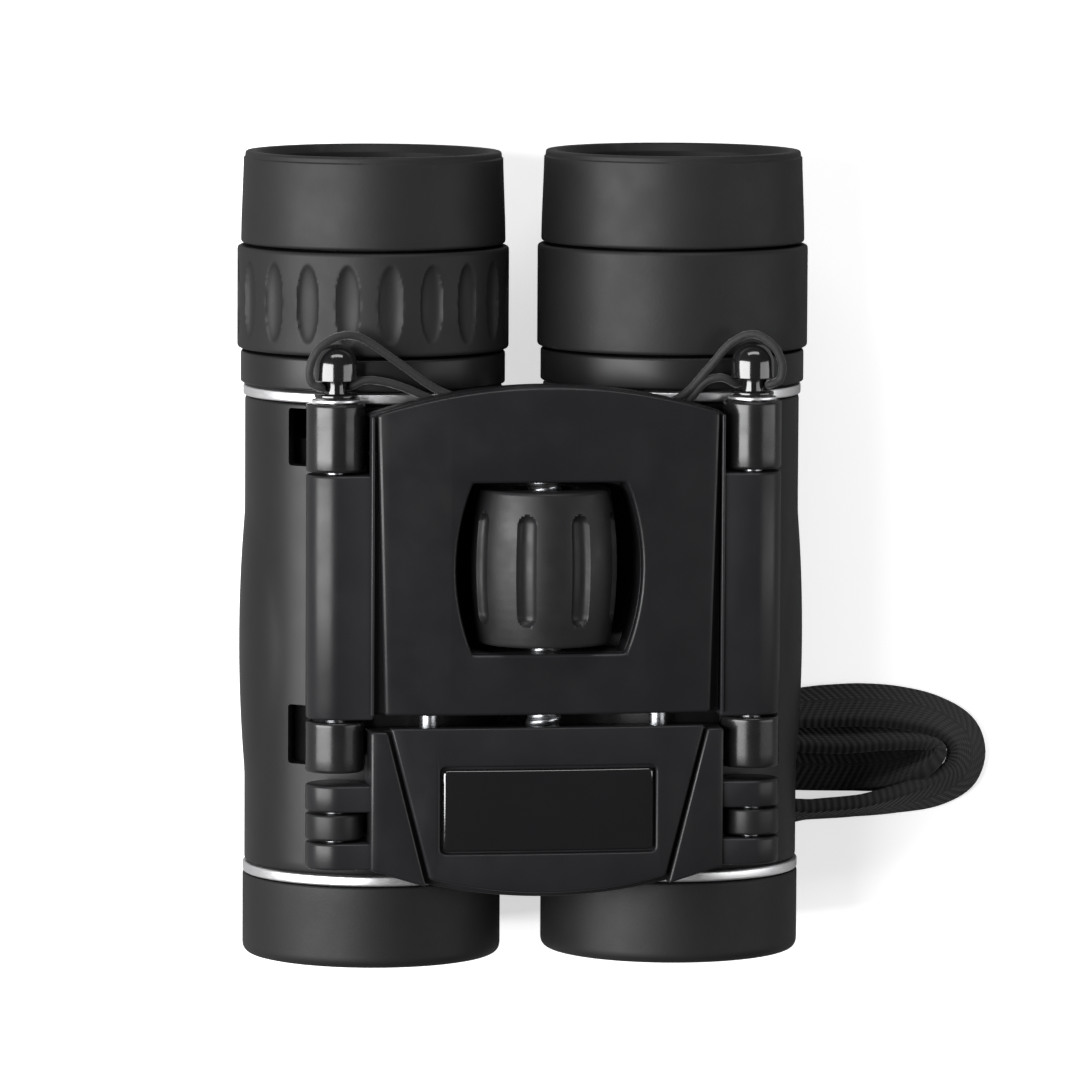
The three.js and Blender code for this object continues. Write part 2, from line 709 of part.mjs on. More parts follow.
function buildBridge() {
  add(bridge, 'front_bridge_frame', frontFrame(), finishes.bridge);
  add(bridge, 'front_cover', frontCover(), finishes.bridge);
  add(bridge, 'label_plate', labelPlate(), finishes.label);
  add(bridge, 'rear_bridge_frame', rearFrame(), finishes.bridge);
  add(bridge, 'rear_cover', rearCover(), finishes.bridge);
  add(bridge, 'focus_wheel', focusWheel(), finishes.rubber);
  const nutHalf = wheelLength / 2 - nutInset;
  const nut = tube(nutRadius, screwRadius + runningGap, wheelY - nutHalf, wheelY + nutHalf, 24);
  add(bridge, 'focus_nut', nut.translate([0, 0, hingeZ]), finishes.brass);
  const screw = rod(screwRadius, screwFrontY, screwEndY, 20).translate([0, 0, hingeZ]);
  add(bridge, 'focus_screw', screw, finishes.steel);
  sides.forEach(({ name, sign }, i) => {
    const pin = rod(guidePinRadius, screwFrontY, wheelY - focusTravel - 3, 12);
    add(bridge, `${name}_guide_pin`, pin.translate([sign * guidePinX, 0, hingeZ]), finishes.steel);
    add(bridge, `${name}_cover_screw`, coverScrew(...coverScrewPlaces[i]), finishes.steel);
  });
}

buildBridge();

// ---- neck strap ----

// A path through chosen points, each [x, y, height above the floor, tilt]. The tilt is the angle in
// degrees that a band's flat face is turned from lying flat to standing on its edge.
function bandPath(points) {
  const centres = points.map(([x, y, height]) => new THREE.Vector3(x, y, floorZ + height));
  const curve = new THREE.CatmullRomCurve3(centres, false, 'centripetal');
  const tiltAt = (along) => {
    const place = along * (points.length - 1);
    const i = Math.min(Math.floor(place), points.length - 2);
    return THREE.MathUtils.lerp(points[i][3], points[i + 1][3], place - i);
  };
  return { curve, tiltAt };
}

// A flat band with a rectangular section along a path.
function band(points, steps) {
  const { curve, tiltAt } = bandPath(points);
  const up = new THREE.Vector3(0, 0, 1);
  const positions = [];
  for (let i = 0; i <= steps; i++) {
    const along = i / steps;
    const centre = curve.getPoint(along);
    const side = curve.getTangent(along).cross(up).normalize();
    const tilt = THREE.MathUtils.degToRad(tiltAt(along));
    const rise = up.clone().projectOnPlane(curve.getTangent(along)).normalize();
    const across = side.clone().multiplyScalar(Math.cos(tilt)).addScaledVector(rise, Math.sin(tilt));
    const through = rise.clone().multiplyScalar(Math.cos(tilt)).addScaledVector(side, -Math.sin(tilt));
    for (const [w, t] of [[1, 1], [-1, 1], [-1, -1], [1, -1]]) {
      positions.push(...centre.clone().addScaledVector(across, (w * strapWidth) / 2)
        .addScaledVector(through, (t * strapThickness) / 2).toArray());
    }
  }
  const index = [0, 1, 2, 0, 2, 3];
  for (let i = 0; i < steps; i++) {
    for (let k = 0; k < 4; k++) {
      const [a, b] = [4 * i + k, 4 * i + ((k + 1) % 4)];
      index.push(a, a + 4, b + 4, a, b + 4, b);
    }
  }
  const last = 4 * steps;
  index.push(last, last + 2, last + 1, last, last + 3, last + 2);
  const geometry = new THREE.BufferGeometry();
  geometry.setAttribute('position', new THREE.Float32BufferAttribute(positions, 3));
  geometry.setIndex(index);
  return solid(geometry);
}

// A round cord through chosen points.
function cord(points, steps) {
  const curve = new THREE.CatmullRomCurve3(points.map((point) => new THREE.Vector3(...point)));
  const sides = 8;
  const outline = arcPoints(0, 0, cordDiameter / 2, 0, 360, sides).slice(0, sides);
  const section = new THREE.Shape(outline.map(([x, y]) => new THREE.Vector2(x, y)));
  return solid(new THREE.ExtrudeGeometry(section, { steps, bevelEnabled: false, extrudePath: curve }));
}

// Both strap ends lie over the middle of the hank, the right one above the left one.
const ferruleHeights = {
  left: strapWidth + gap + ferruleRadius,
  right: strapWidth + 2 * gap + 3.1 * ferruleRadius,
};

// From the right of the hank: out under the barrel, round an inner bend, round the outer bend and
// back under the barrel, then up over the hank's front end to the right ferrule.
const loopStartX = 23;
const loopShift = barrelX + bodyRadius - 31.7;
const looseBandPoints = [
  [9.3, -24.6, 1, 0], [16, -25, 1, 0], [24, -26, 1, 0], [32, -26.9, 1, 0], [40, -27.2, 1.15, 4],
  [44.5, -26.9, 2.25, 28], [47.6, -26, 3.25, 70], [49.2, -24.5, 3.25, 105], [48, -23.2, 3.2, 118],
  [45, -22.9, 3.2, 120], [40, -23.2, 3.15, 124], [34, -23.1, 3.2, 118], [29.5, -22.8, 3.25, 98],
  [27.6, -21.6, 3.25, 90], [29.4, -20.2, 3.25, 82], [34, -20.3, 3.2, 62], [38, -20.1, 3.1, 56],
  [42.6, -20, 3.1, 54], [47, -20.4, 3.1, 54], [51, -21.8, 3.1, 54], [53.6, -23.8, 3.1, 54],
  [54.4, -26, 3.1, 56], [53.6, -28.4, 3.15, 60], [51, -30.2, 3.2, 66], [47, -31.2, 3.25, 72],
  [42, -31.8, 3.25, 76], [36, -32.2, 3.25, 74], [30, -32.7, 3.1, 56], [24, -33.2, 1.95, 20],
  [17, -33.3, 1, 0], [11, -33.4, 1.7, 15], [6.2, -33, 4.2, 40], [2.6, -31.4, 7.4, 25], [0.6, -28, 9.5, 0],
  [0, -22, 9.7, 0], [0, -13, 10.2, 0], [0, ferruleFrontY - gap, ferruleHeights.right, 0],
].map(([x, y, height, tilt]) => {
  const taller = ((strapWidth - 6.2) / 2) * Math.sin(THREE.MathUtils.degToRad(tilt));
  return [x > loopStartX ? x + loopShift : x, y, height + taller, tilt];
});

// From the left ferrule forward over the hank and down its front end.
const leadBandPoints = [
  [0, ferruleFrontY - gap, ferruleHeights.left, 0], [0, -13, 7.4, 0], [0, -22, 7.4, 0],
  [-0.8, -27, 7.2, 0], [-3.4, -29.8, 5.6, 30], [-6, -30.8, 3.8, 70], [-7.4, -29.6, 3.2, 90],
  [-7.7, hankY[0] - 3 * gap, 3.2, 90],
];

// Each cord is one loop: from its ferrule up between the barrels, under the rear plate's edge, over
// the domed cap, round the cap's waist and back beside itself.
function cordPoints(name, sign, spread) {
  const waistY = capY + 0.4 + capWaistLength / 2;
  const waistLoop = arcPoints(hingeX, hingeZ, capWaistRadius + gap + cordDiameter / 2, 28, -152, 5)
    .map(([x, z]) => [x, waistY, z]);
  const rearY = ferruleFrontY + ferruleLength + gap;
  const low = floorZ + ferruleHeights[name];
  const out = [
    [0.65, rearY, low], [0.7, 9.6, low + 0.3], [1.15, 13.4, low * 0.56], [1.3, 15, 0], [1.7, 15.4, 6],
    [5, 15.6, 12.3], [10 - spread, 16.8 + spread / 4, 15.1], [15.6 - spread, 18.9 + spread / 3, 15.8],
    [18.6 - spread / 2, 22.2 + spread / 3, 16.8], [21.2, 25.2 + spread / 4, 17.5], [23.5, 26.1, 18.1],
    [25.7, 24.8, 18.6], [26.7, 22.6, 18.5], [26.4, waistY + 0.5, 18.2],
  ];
  const back = [
    [20.2, waistY + 0.7, 16.6], [18.4 - spread / 3, 20.7, 16.4], [15.7 - spread, 17.6 + spread / 3, 15.6],
    [10 - spread, 15.4 + spread / 4, 15.1], [5, 14.2, 12.3], [1.7, 14, 6], [1.3, 13.5, 0],
    [0.9, 11.8, low * 0.56 - 0.3], [-0.4, 9.2, low + 0.3], [-0.65, rearY, low],
  ];
  const reach = ([x, y, z]) => [x > 4 ? x + ((x - 4) / 19.574) * (hingeX - 23.574) : x, y, z];
  return [...out.map(reach), ...waistLoop, ...back.map(reach)].map(([x, y, z]) => [sign * x, y, z]);
}

function ferrule(height) {
  return rod(ferruleRadius, ferruleFrontY, ferruleFrontY + ferruleLength, 12)
    .translate([0, 0, floorZ + height]);
}

// A ring of the hank's outline, `depth` into it, as wide as the tie.
function hankRing(depth, width) {
  const [x, z] = [hankHalfWidth, strapWidth];
  const outer = block(-x - 1, x + 1, tieY - width / 2, tieY + width / 2, floorZ - 1, floorZ + z + 1);
  return outer.subtract(block(depth - x, x - depth, tieY - width, tieY + width, floorZ + depth, floorZ + z - depth));
}

function tie() {
  const [x, z] = [hankHalfWidth, strapWidth];
  return hankRing(tieThickness, tieWidth)
    .intersect(block(-x, x, tieY - tieWidth, tieY + tieWidth, floorZ, floorZ + z));
}

// The folded part of the strap: runs side by side on their edges, with rounded ends, squeezed by
// the tie.
function hank() {
  const corner = 3;
  const [y0, y1] = hankY;
  const x = hankHalfWidth - corner;
  const outline = [
    ...arcPoints(x, y0 + corner, corner, -90, 0, 3), ...arcPoints(x, y1 - corner, corner, 0, 90, 3),
    ...arcPoints(-x, y1 - corner, corner, 90, 180, 3), ...arcPoints(-x, y0 + corner, corner, 180, 270, 3),
  ];
  return upright(outline, floorZ, floorZ + strapWidth).subtract(hankRing(tieThickness + gap, tieWidth + 2 * gap));
}

function buildStrap() {
  add(binoculars, 'strap_hank', hank(), finishes.webbing);
  add(binoculars, 'strap_band', band(looseBandPoints, 64), finishes.webbing);
  add(binoculars, 'strap_lead', band(leadBandPoints, 14), finishes.webbing);
  add(binoculars, 'strap_tie', tie(), finishes.rubber);
  const spreads = { right: 0, left: 3.4 };
  sides.forEach(({ name, sign }) => {
    add(binoculars, `${name}_strap_ferrule`, ferrule(ferruleHeights[name]), finishes.webbing);
    add(binoculars, `${name}_cord`, cord(cordPoints(name, sign, spreads[name]), 44), finishes.webbing);
  });
}

buildStrap();

export default binoculars;
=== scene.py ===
import math

import bmesh
import bpy
from mathutils import Matrix, Vector


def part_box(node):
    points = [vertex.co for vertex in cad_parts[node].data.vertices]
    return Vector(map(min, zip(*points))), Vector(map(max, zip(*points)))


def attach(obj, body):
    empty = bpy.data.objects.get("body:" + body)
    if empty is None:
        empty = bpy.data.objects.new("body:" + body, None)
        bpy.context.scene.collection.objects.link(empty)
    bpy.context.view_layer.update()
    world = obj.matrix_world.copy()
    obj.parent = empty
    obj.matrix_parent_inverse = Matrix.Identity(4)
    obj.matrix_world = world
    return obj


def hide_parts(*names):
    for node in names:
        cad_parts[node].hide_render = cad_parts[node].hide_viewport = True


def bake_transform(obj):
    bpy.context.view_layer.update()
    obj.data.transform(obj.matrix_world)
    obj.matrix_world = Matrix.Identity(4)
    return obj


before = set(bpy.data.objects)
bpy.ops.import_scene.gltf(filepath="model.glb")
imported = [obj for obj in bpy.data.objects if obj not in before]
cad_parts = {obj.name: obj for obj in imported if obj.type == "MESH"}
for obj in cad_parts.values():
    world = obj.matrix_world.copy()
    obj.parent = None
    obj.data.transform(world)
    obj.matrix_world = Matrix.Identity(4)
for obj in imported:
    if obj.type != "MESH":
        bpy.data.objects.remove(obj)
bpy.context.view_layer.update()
mm = 0.001

# ---- where things are ----
# Lengths below are in millimetres, measured from the two optical axes (height 0) and from
# the middle of the barrel bodies (y 0). place() turns them into the frame's metres.

trimLow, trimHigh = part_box("right_rear_trim_ring")
hinge = {
    "x": sum(p.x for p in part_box("right_cap_washer")) / 2 / mm,
    "z": sum(p.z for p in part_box("right_cap_washer")) / 2 / mm,
}
barrelX = (trimLow.x + trimHigh.x) / 2 / mm
axisHeight = (trimLow.z + trimHigh.z) / 2
midY = trimLow.y - 18.15 * mm
hinge["z"] -= axisHeight / mm
hingeTilt = math.atan2(hinge["x"] - barrelX, hinge["z"])
hingeDistance = math.hypot(hinge["x"] - barrelX, hinge["z"])
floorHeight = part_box("strap_hank")[0].z / mm - axisHeight / mm
print("frame loaded, barrels at", round(barrelX, 2), "hinges at", round(hinge["x"], 2))


def place(x, y, z):
    return Vector((x * mm, midY + y * mm, axisHeight + z * mm))


# ---- camera, lights and floor ----


def aimCamera():
    view = {"turn": -0.1488, "tip": 0.1017, "roll": 0.0053, "distance": 1000, "lens": 292.2}
    aim = place(2.09, 1.27, 0)
    back = Vector((
        math.sin(view["turn"]) * math.cos(view["tip"]),
        math.sin(view["tip"]),
        math.cos(view["turn"]) * math.cos(view["tip"]),
    ))
    right = Vector((0, 1, 0)).cross(back).normalized()
    up = back.cross(right)
    rolledRight = math.cos(view["roll"]) * right + math.sin(view["roll"]) * up
    rolledUp = back.cross(rolledRight)
    camera = bpy.data.objects.new("camera", bpy.data.cameras.new("camera"))
    camera.data.lens = view["lens"]
    camera.data.sensor_width = 36
    camera.data.clip_start = 0.01
    camera.data.clip_end = 20
    turned = Matrix((rolledRight, rolledUp, back)).transposed().to_4x4()
    camera.matrix_world = Matrix.Translation(aim + back * view["distance"] * mm) @ turned
    bpy.context.collection.objects.link(camera)
    bpy.context.scene.camera = camera


def softBox(name, where, aim, size, power):
    light = bpy.data.lights.new(name, "AREA")
    light.shape = "RECTANGLE"
    light.size, light.size_y = size
    light.energy = power
    lamp = bpy.data.objects.new(name, light)
    lamp.location = where
    lamp.rotation_euler = (Vector(aim) - Vector(where)).to_track_quat("-Z", "Y").to_euler()
    bpy.context.collection.objects.link(lamp)


def lightStudio():
    world = bpy.data.worlds.new("studio")
    world.use_nodes = True
    world.node_tree.nodes["Background"].inputs["Color"].default_value = (1, 1, 1, 1)
    world.node_tree.nodes["Background"].inputs["Strength"].default_value = 0.08
    bpy.context.scene.world = world
    bpy.context.scene.view_settings.view_transform = "Standard"
    softBox("keyLeft", (-0.62, 0.02, 0.46), (0, 0, 0), (0.3, 0.9), 12)
    softBox("fillRight", (0.66, 0.0, 0.36), (0, 0, 0), (0.2, 0.8), 1.5)
    softBox("rearTop", (0.0, 0.7, 0.42), (0, 0, 0), (0.8, 0.2), 3)


def makeFloor():
    half = 1.5
    mesh = bpy.data.meshes.new("floor")
    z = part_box("strap_hank")[0].z
    corners = [(-half, -half, z), (half, -half, z), (half, half, z), (-half, half, z)]
    mesh.from_pydata(corners, [], [(0, 1, 2, 3)])
    floor = bpy.data.objects.new("floor", mesh)
    bpy.context.collection.objects.link(floor)
    material = bpy.data.materials.new("paleFloor")
    material.use_nodes = True
    shader = material.node_tree.nodes["Principled BSDF"]
    shader.inputs["Base Color"].default_value = (0.93, 0.93, 0.93, 1)
    shader.inputs["Roughness"].default_value = 0.8
    shader.inputs["Emission Color"].default_value = (1, 1, 1, 1)
    shader.inputs["Emission Strength"].default_value = 0.6
    # White to the camera alone, so that the black barrels don't mirror a bright floor.
    nodes, links = material.node_tree.nodes, material.node_tree.links
    dim = nodes.new("ShaderNodeBsdfDiffuse")
    dim.inputs["Color"].default_value = (0.3, 0.3, 0.3, 1)
    seen, either = nodes.new("ShaderNodeLightPath"), nodes.new("ShaderNodeMixShader")
    links.new(seen.outputs["Is Camera Ray"], either.inputs["Fac"])
    links.new(dim.outputs["BSDF"], either.inputs[1])
    links.new(shader.outputs["BSDF"], either.inputs[2])
    links.new(either.outputs["Shader"], nodes["Material Output"].inputs["Surface"])
    floor.data.materials.append(material)


aimCamera()
lightStudio()
makeFloor()
print("camera, lights and floor set")

# ---- finishes ----


def newFinish(name, colour, roughness, metallic=0.0, **sockets):
    material = bpy.data.materials.new(name)
    material.use_nodes = True
    shader = material.node_tree.nodes["Principled BSDF"]
    shader.inputs["Base Color"].default_value = (*colour, 1)
    shader.inputs["Roughness"].default_value = roughness
    shader.inputs["Metallic"].default_value = metallic
    for socket, value in sockets.items():
        shader.inputs[socket.replace("_", " ")].default_value = value
    return material


def node(material, kind, inputs=None, **settings):
    made = material.node_tree.nodes.new(kind)
    for name, value in settings.items():
        setattr(made, name, value)
    for name, value in (inputs or {}).items():
        made.inputs[name].default_value = value
    return made


def link(material, start, end):
    material.node_tree.links.new(start, end)


def shaderOf(material):
    return material.node_tree.nodes["Principled BSDF"]


def grainNoise(material, scale, detail=3.0, stretch=(1, 1, 1)):
    where = node(material, "ShaderNodeTexCoord")
    mapping = node(material, "ShaderNodeMapping", {"Scale": stretch})
    noise = node(material, "ShaderNodeTexNoise", {"Scale": scale, "Detail": detail})
    link(material, where.outputs["Object"], mapping.inputs["Vector"])
    link(material, mapping.outputs["Vector"], noise.inputs["Vector"])
    return noise.outputs["Fac"]


def spread(material, fac, low, high, fromLow=0.35, fromHigh=0.65):
    ranged = node(material, "ShaderNodeMapRange", {
        "From Min": fromLow, "From Max": fromHigh, "To Min": low, "To Max": high,
    })
    link(material, fac, ranged.inputs["Value"])
    return ranged.outputs["Result"]


def tone(material, fac, dark, light):
    ramp = node(material, "ShaderNodeValToRGB")
    ramp.color_ramp.elements[0].color = (*dark, 1)
    ramp.color_ramp.elements[1].color = (*light, 1)
    link(material, fac, ramp.inputs["Fac"])
    return ramp.outputs["Color"]


def relief(material, height, distance, strength=0.5):
    bump = node(material, "ShaderNodeBump", {"Strength": strength, "Distance": distance * mm})
    link(material, height, bump.inputs["Height"])
    link(material, bump.outputs["Normal"], shaderOf(material).inputs["Normal"])
    return bump


def paintedEdgeHighlight(material, colourSocket, edgeHighlightColour, amount=0.5):
    # Painted highlight: Pointiness picks out the proud edges and lightens their colour there,
    # standing in for light caught on rounded edges.
    geometry = node(material, "ShaderNodeNewGeometry")
    ramp = node(material, "ShaderNodeMapRange", {
        "From Min": 0.52, "From Max": 0.62, "To Min": 0.0, "To Max": amount,
    })
    link(material, geometry.outputs["Pointiness"], ramp.inputs["Value"])
    mix = node(material, "ShaderNodeMix", data_type="RGBA")
    mix.inputs["B"].default_value = (*edgeHighlightColour, 1)
    link(material, ramp.outputs["Result"], mix.inputs["Factor"])
    link(material, colourSocket, mix.inputs["A"])
    return mix.outputs["Result"]


def moulded(name, look):
    # A moulded plastic or rubber: mottled colour, uneven gloss and a fine grain.
    material = newFinish(name, look["dark"], look["roughness"][0])
    patches = grainNoise(material, look["patchScale"], 4)
    colour = tone(material, patches, look["dark"], look["light"])
    # Where an "edge" colour is given, proud edges get a painted highlight.
    if "edge" in look:
        colour = paintedEdgeHighlight(material, colour, look["edge"])
    link(material, colour, shaderOf(material).inputs["Base Color"])
    gloss = spread(material, grainNoise(material, look["patchScale"] * 3), *look["roughness"])
    link(material, gloss, shaderOf(material).inputs["Roughness"])
    grain = grainNoise(material, look["grainScale"], 2)
    relief(material, grain, look["grainDepth"], look.get("grainStrength", 0.5))
    shaderOf(material).inputs["Specular IOR Level"].default_value = look.get("gloss", 0.25)
    for socket, value in look.get("sockets", {}).items():
        shaderOf(material).inputs[socket].default_value = value
    return material


def brushedMetal(name, look):
    # Turned metal: fine rings along Y with a little unevenness in its shine.
    material = newFinish(name, look["colour"], look["roughness"][0], 1.0)
    rings = grainNoise(material, look["ringScale"], 2, (0.15, 1, 0.15))
    gloss = spread(material, rings, *look["roughness"])
    link(material, gloss, shaderOf(material).inputs["Roughness"])
    tint = tone(material, grainNoise(material, 220), look["shade"], look["colour"])
    link(material, tint, shaderOf(material).inputs["Base Color"])
    relief(material, rings, look["ringDepth"], 0.3)
    return material


def coatedGlass(name, look):
    # Coated lens glass over a dark barrel; the coating shows as a faint tint.
    material = newFinish(name, look["body"], 0.02, 0.0)
    shader = shaderOf(material)
    shader.inputs["IOR"].default_value = 1.6
    shader.inputs["Specular IOR Level"].default_value = 0.7
    shader.inputs["Coat Weight"].default_value = 1.0
    shader.inputs["Coat Roughness"].default_value = 0.02
    shader.inputs["Coat Tint"].default_value = (*look["tint"], 1)
    haze = tone(material, grainNoise(material, 90), look["body"], look["haze"])
    link(material, haze, shader.inputs["Base Color"])
    smear = spread(material, grainNoise(material, 160), 0.015, 0.06)
    link(material, smear, shader.inputs["Roughness"])
    return material


def wovenBand(name, look):
    # Two rows of slanted ribs that meet in the band's middle: u runs across, v along in mm.
    material = newFinish(name, look["dark"], look["roughness"])
    uv = node(material, "ShaderNodeUVMap", uv_map="bandPlace")
    parts = node(material, "ShaderNodeSeparateXYZ")
    link(material, uv.outputs["UV"], parts.inputs["Vector"])

    def maths(operation, first, second=None):
        step = node(material, "ShaderNodeMath", operation=operation)
        for i, value in enumerate([first, second]):
            if value is None:
                continue
            if isinstance(value, (int, float)):
                step.inputs[i].default_value = value
            else:
                link(material, value, step.inputs[i])
        return step.outputs["Value"]

    fold = maths("ABSOLUTE", maths("SUBTRACT", parts.outputs["X"], 0.5))
    slant = maths("MULTIPLY", fold, look["slant"])
    phase = maths("MULTIPLY", maths("ADD", parts.outputs["Y"], slant), math.tau / look["rib"])
    rib = maths("ADD", maths("MULTIPLY", maths("SINE", phase), 0.5), 0.5)
    fine = maths("SINE", maths("MULTIPLY", parts.outputs["X"], math.tau * look["threads"]))
    weave = maths("ADD", maths("MULTIPLY", rib, 0.8), maths("MULTIPLY", fine, 0.1))
    groove = maths("GREATER_THAN", fold, look["grooveHalf"])
    height = maths("MULTIPLY", weave, groove)
    # The colour follows the weave's height: partly the weave's own two tones, partly painted shade
    # that darkens the rib valleys and the middle groove, with the rib crests lighter.
    colour = tone(material, height, look["dark"], look["light"])
    link(material, colour, shaderOf(material).inputs["Base Color"])
    relief(material, height, look["depth"], 0.9)
    shaderOf(material).inputs["Sheen Weight"].default_value = 0.12
    shaderOf(material).inputs["Sheen Roughness"].default_value = 0.5
    return material


def braidedCord(name, look):
    material = newFinish(name, look["dark"], 0.7)
    fibre = grainNoise(material, look["fibreScale"], 3)
    link(material, tone(material, fibre, look["dark"], look["light"]),
         shaderOf(material).inputs["Base Color"])
    relief(material, fibre, 0.05, 0.6)
    shaderOf(material).inputs["Sheen Weight"].default_value = 0.3
    shaderOf(material).inputs["Sheen Roughness"].default_value = 0.4
    return material


# An "edge" colour below is a painted highlight on proud edges, not wear.
finishes = {
    "shell": moulded("satinShell", {
        "dark": (0.009, 0.009, 0.0095), "light": (0.014, 0.014, 0.015), "patchScale": 60,
        "roughness": (0.36, 0.41), "grainScale": 5200, "grainDepth": 0.012, "grainStrength": 0.35,
    }),
    "rubber": moulded("matteRubber", {
        "dark": (0.010, 0.010, 0.0105), "light": (0.017, 0.017, 0.018), "patchScale": 90,
        "roughness": (0.5, 0.55), "grainScale": 3600, "grainDepth": 0.02, "grainStrength": 0.5,
        "edge": (0.03, 0.03, 0.032),
    }),
    "bridge": moulded("satinBridge", {
        "dark": (0.009, 0.009, 0.010), "light": (0.014, 0.014, 0.0155), "patchScale": 70,
        "roughness": (0.28, 0.38), "grainScale": 4600, "grainDepth": 0.012, "grainStrength": 0.4,
        "edge": (0.03, 0.03, 0.033),
    }),
    "wheel": moulded("wheelRubber", {
        "dark": (0.010, 0.010, 0.011), "light": (0.017, 0.017, 0.018), "patchScale": 120,
        "roughness": (0.36, 0.48), "grainScale": 3800, "grainDepth": 0.015, "grainStrength": 0.4,
    }),
    "carriage": moulded("knucklePlastic", {
        "dark": (0.008, 0.008, 0.0085), "light": (0.012, 0.012, 0.013), "patchScale": 90,
        "roughness": (0.2, 0.3), "grainScale": 5200, "grainDepth": 0.006, "grainStrength": 0.3,
        "edge": (0.03, 0.03, 0.033), "gloss": 0.4,
    }),
    "cap": moulded("polishedCap", {
        "dark": (0.006, 0.006, 0.0065), "light": (0.010, 0.010, 0.011), "patchScale": 110,
        "roughness": (0.1, 0.17), "grainScale": 5000, "grainDepth": 0.003, "grainStrength": 0.2,
        "gloss": 0.5, "sockets": {"Coat Weight": 0.5, "Coat Roughness": 0.08},
    }),
    "label": moulded("glossLabel", {
        "dark": (0.004, 0.004, 0.0045), "light": (0.007, 0.007, 0.008), "patchScale": 60,
        "roughness": (0.06, 0.1), "grainScale": 900, "grainDepth": 0.002, "grainStrength": 0.15,
        "gloss": 0.5, "sockets": {"Coat Weight": 1.0, "Coat Roughness": 0.03},
    }),
    "inner_plastic": moulded("innerPlastic", {
        "dark": (0.011, 0.011, 0.011), "light": (0.017, 0.017, 0.017), "patchScale": 100,
        "roughness": (0.6, 0.75), "grainScale": 2600, "grainDepth": 0.03,
    }),
    "ferrule": moulded("ferrulePlastic", {
        "dark": (0.010, 0.010, 0.010), "light": (0.015, 0.015, 0.016), "patchScale": 130,
        "roughness": (0.4, 0.52), "grainScale": 3600, "grainDepth": 0.015,
    }),
    "tie": moulded("elasticTie", {
        "dark": (0.011, 0.011, 0.012), "light": (0.019, 0.019, 0.020), "patchScale": 900,
        "roughness": (0.6, 0.72), "grainScale": 3000, "grainDepth": 0.05,
    }),
    "silver": brushedMetal("silverTrim", {
        "colour": (0.95, 0.95, 0.96), "shade": (0.86, 0.86, 0.88), "roughness": (0.34, 0.44),
        "ringScale": 9000, "ringDepth": 0.006,
    }),
    "steel": brushedMetal("plainSteel", {
        "colour": (0.50, 0.51, 0.53), "shade": (0.40, 0.41, 0.43), "roughness": (0.25, 0.4),
        "ringScale": 7000, "ringDepth": 0.01,
    }),
    "brass": brushedMetal("plainBrass", {
        "colour": (0.60, 0.43, 0.17), "shade": (0.48, 0.33, 0.12), "roughness": (0.25, 0.42),
        "ringScale": 6500, "ringDepth": 0.012,
    }),
    "glass": coatedGlass("eyepieceGlass", {
        "body": (0.006, 0.007, 0.012), "haze": (0.010, 0.012, 0.020), "tint": (0.75, 0.8, 1.0),
    }),
    "objective_glass": coatedGlass("objectiveGlass", {
        "body": (0.012, 0.006, 0.010), "haze": (0.020, 0.010, 0.018), "tint": (1.0, 0.72, 0.85),
    }),
    "webbing": wovenBand("wovenWebbing", {
        "dark": (0.003, 0.003, 0.003), "light": (0.019, 0.019, 0.020), "roughness": 0.8,
        "slant": 3.4, "rib": 0.85, "threads": 14, "grooveHalf": 0.02, "depth": 0.16,
    }),
    "cord": braidedCord("braidedCord", {
        "dark": (0.006, 0.006, 0.006), "light": (0.022, 0.022, 0.023), "fibreScale": 4200,
    }),
}
print("finishes made")

# ---- mesh tools: everything is drawn in bench millimetres and placed at the end ----

benchToFrame = Matrix.Translation(place(0, 0, 0)) @ Matrix.Scale(mm, 4)


def newPiece(name, bm, finish, body, stands=(), sharp=32):
    bmesh.ops.remove_doubles(bm, verts=bm.verts[:], dist=0.0005)
    bmesh.ops.dissolve_degenerate(bm, dist=0.0005, edges=bm.edges[:])
    bmesh.ops.recalc_face_normals(bm, faces=bm.faces[:])
    bmesh.ops.transform(bm, matrix=benchToFrame, verts=bm.verts[:])
    mesh = bpy.data.meshes.new(name)
    bm.to_mesh(mesh)
    bm.free()
    mesh.shade_smooth()
    mesh.set_sharp_from_angle(angle=math.radians(sharp))
    mesh.materials.append(finishes[finish])
    piece = bpy.data.objects.new(name, mesh)
    bpy.context.collection.objects.link(piece)
    if stands:
        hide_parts(*stands)
    if body:
        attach(piece, body)
    return piece


def softened(points, radius, steps=4, closed=True):
    # Rounds each corner of a profile; a third number on a point is its own radius.
    out = []
    count = len(points)
    for i, point in enumerate(points):
        here = Vector(point[:2])
        before = Vector(points[i - 1][:2])
        after = Vector(points[(i + 1) % count][:2])
        cut = point[2] if len(point) > 2 else radius
        atEnd = not closed and i in (0, count - 1)
        if cut == 0 or atEnd:
            out.append((here.x, here.y))
            continue
        toBefore, toAfter = before - here, after - here
        half = toBefore.angle(toAfter) / 2
        reach = min(cut / math.tan(half), 0.45 * min(toBefore.length, toAfter.length))
        start = here + toBefore.normalized() * reach
        end = here + toAfter.normalized() * reach
        for k in range(steps + 1):
            t = k / steps
            spot = start * (1 - t) ** 2 + here * (2 * t * (1 - t)) + end * t ** 2
            out.append((spot.x, spot.y))
    return out


def dense(points, step, closed=True):
    # Adds points along the long straight runs of a profile.
    out = []
    count = len(points)
    for i, (r, y) in enumerate(points):
        out.append((r, y))
        if not closed and i == count - 1:
            break
        nextR, nextY = points[(i + 1) % count]
        length = math.hypot(nextR - r, nextY - y)
        for k in range(1, math.ceil(length / step)):
            t = k * step / length
            if t < 0.999:
                out.append((r + (nextR - r) * t, y + (nextY - y) * t))
    return out


def skin(bm, rings, closed):
    # Faces between neighbouring rings of vertices.
    pairs = list(zip(rings, rings[1:]))
    if closed:
        pairs.append((rings[-1], rings[0]))
    for first, second in pairs:
        for k in range(len(first)):
            n = (k + 1) % len(first)
            bm.faces.new((first[k], first[n], second[n], second[k]))


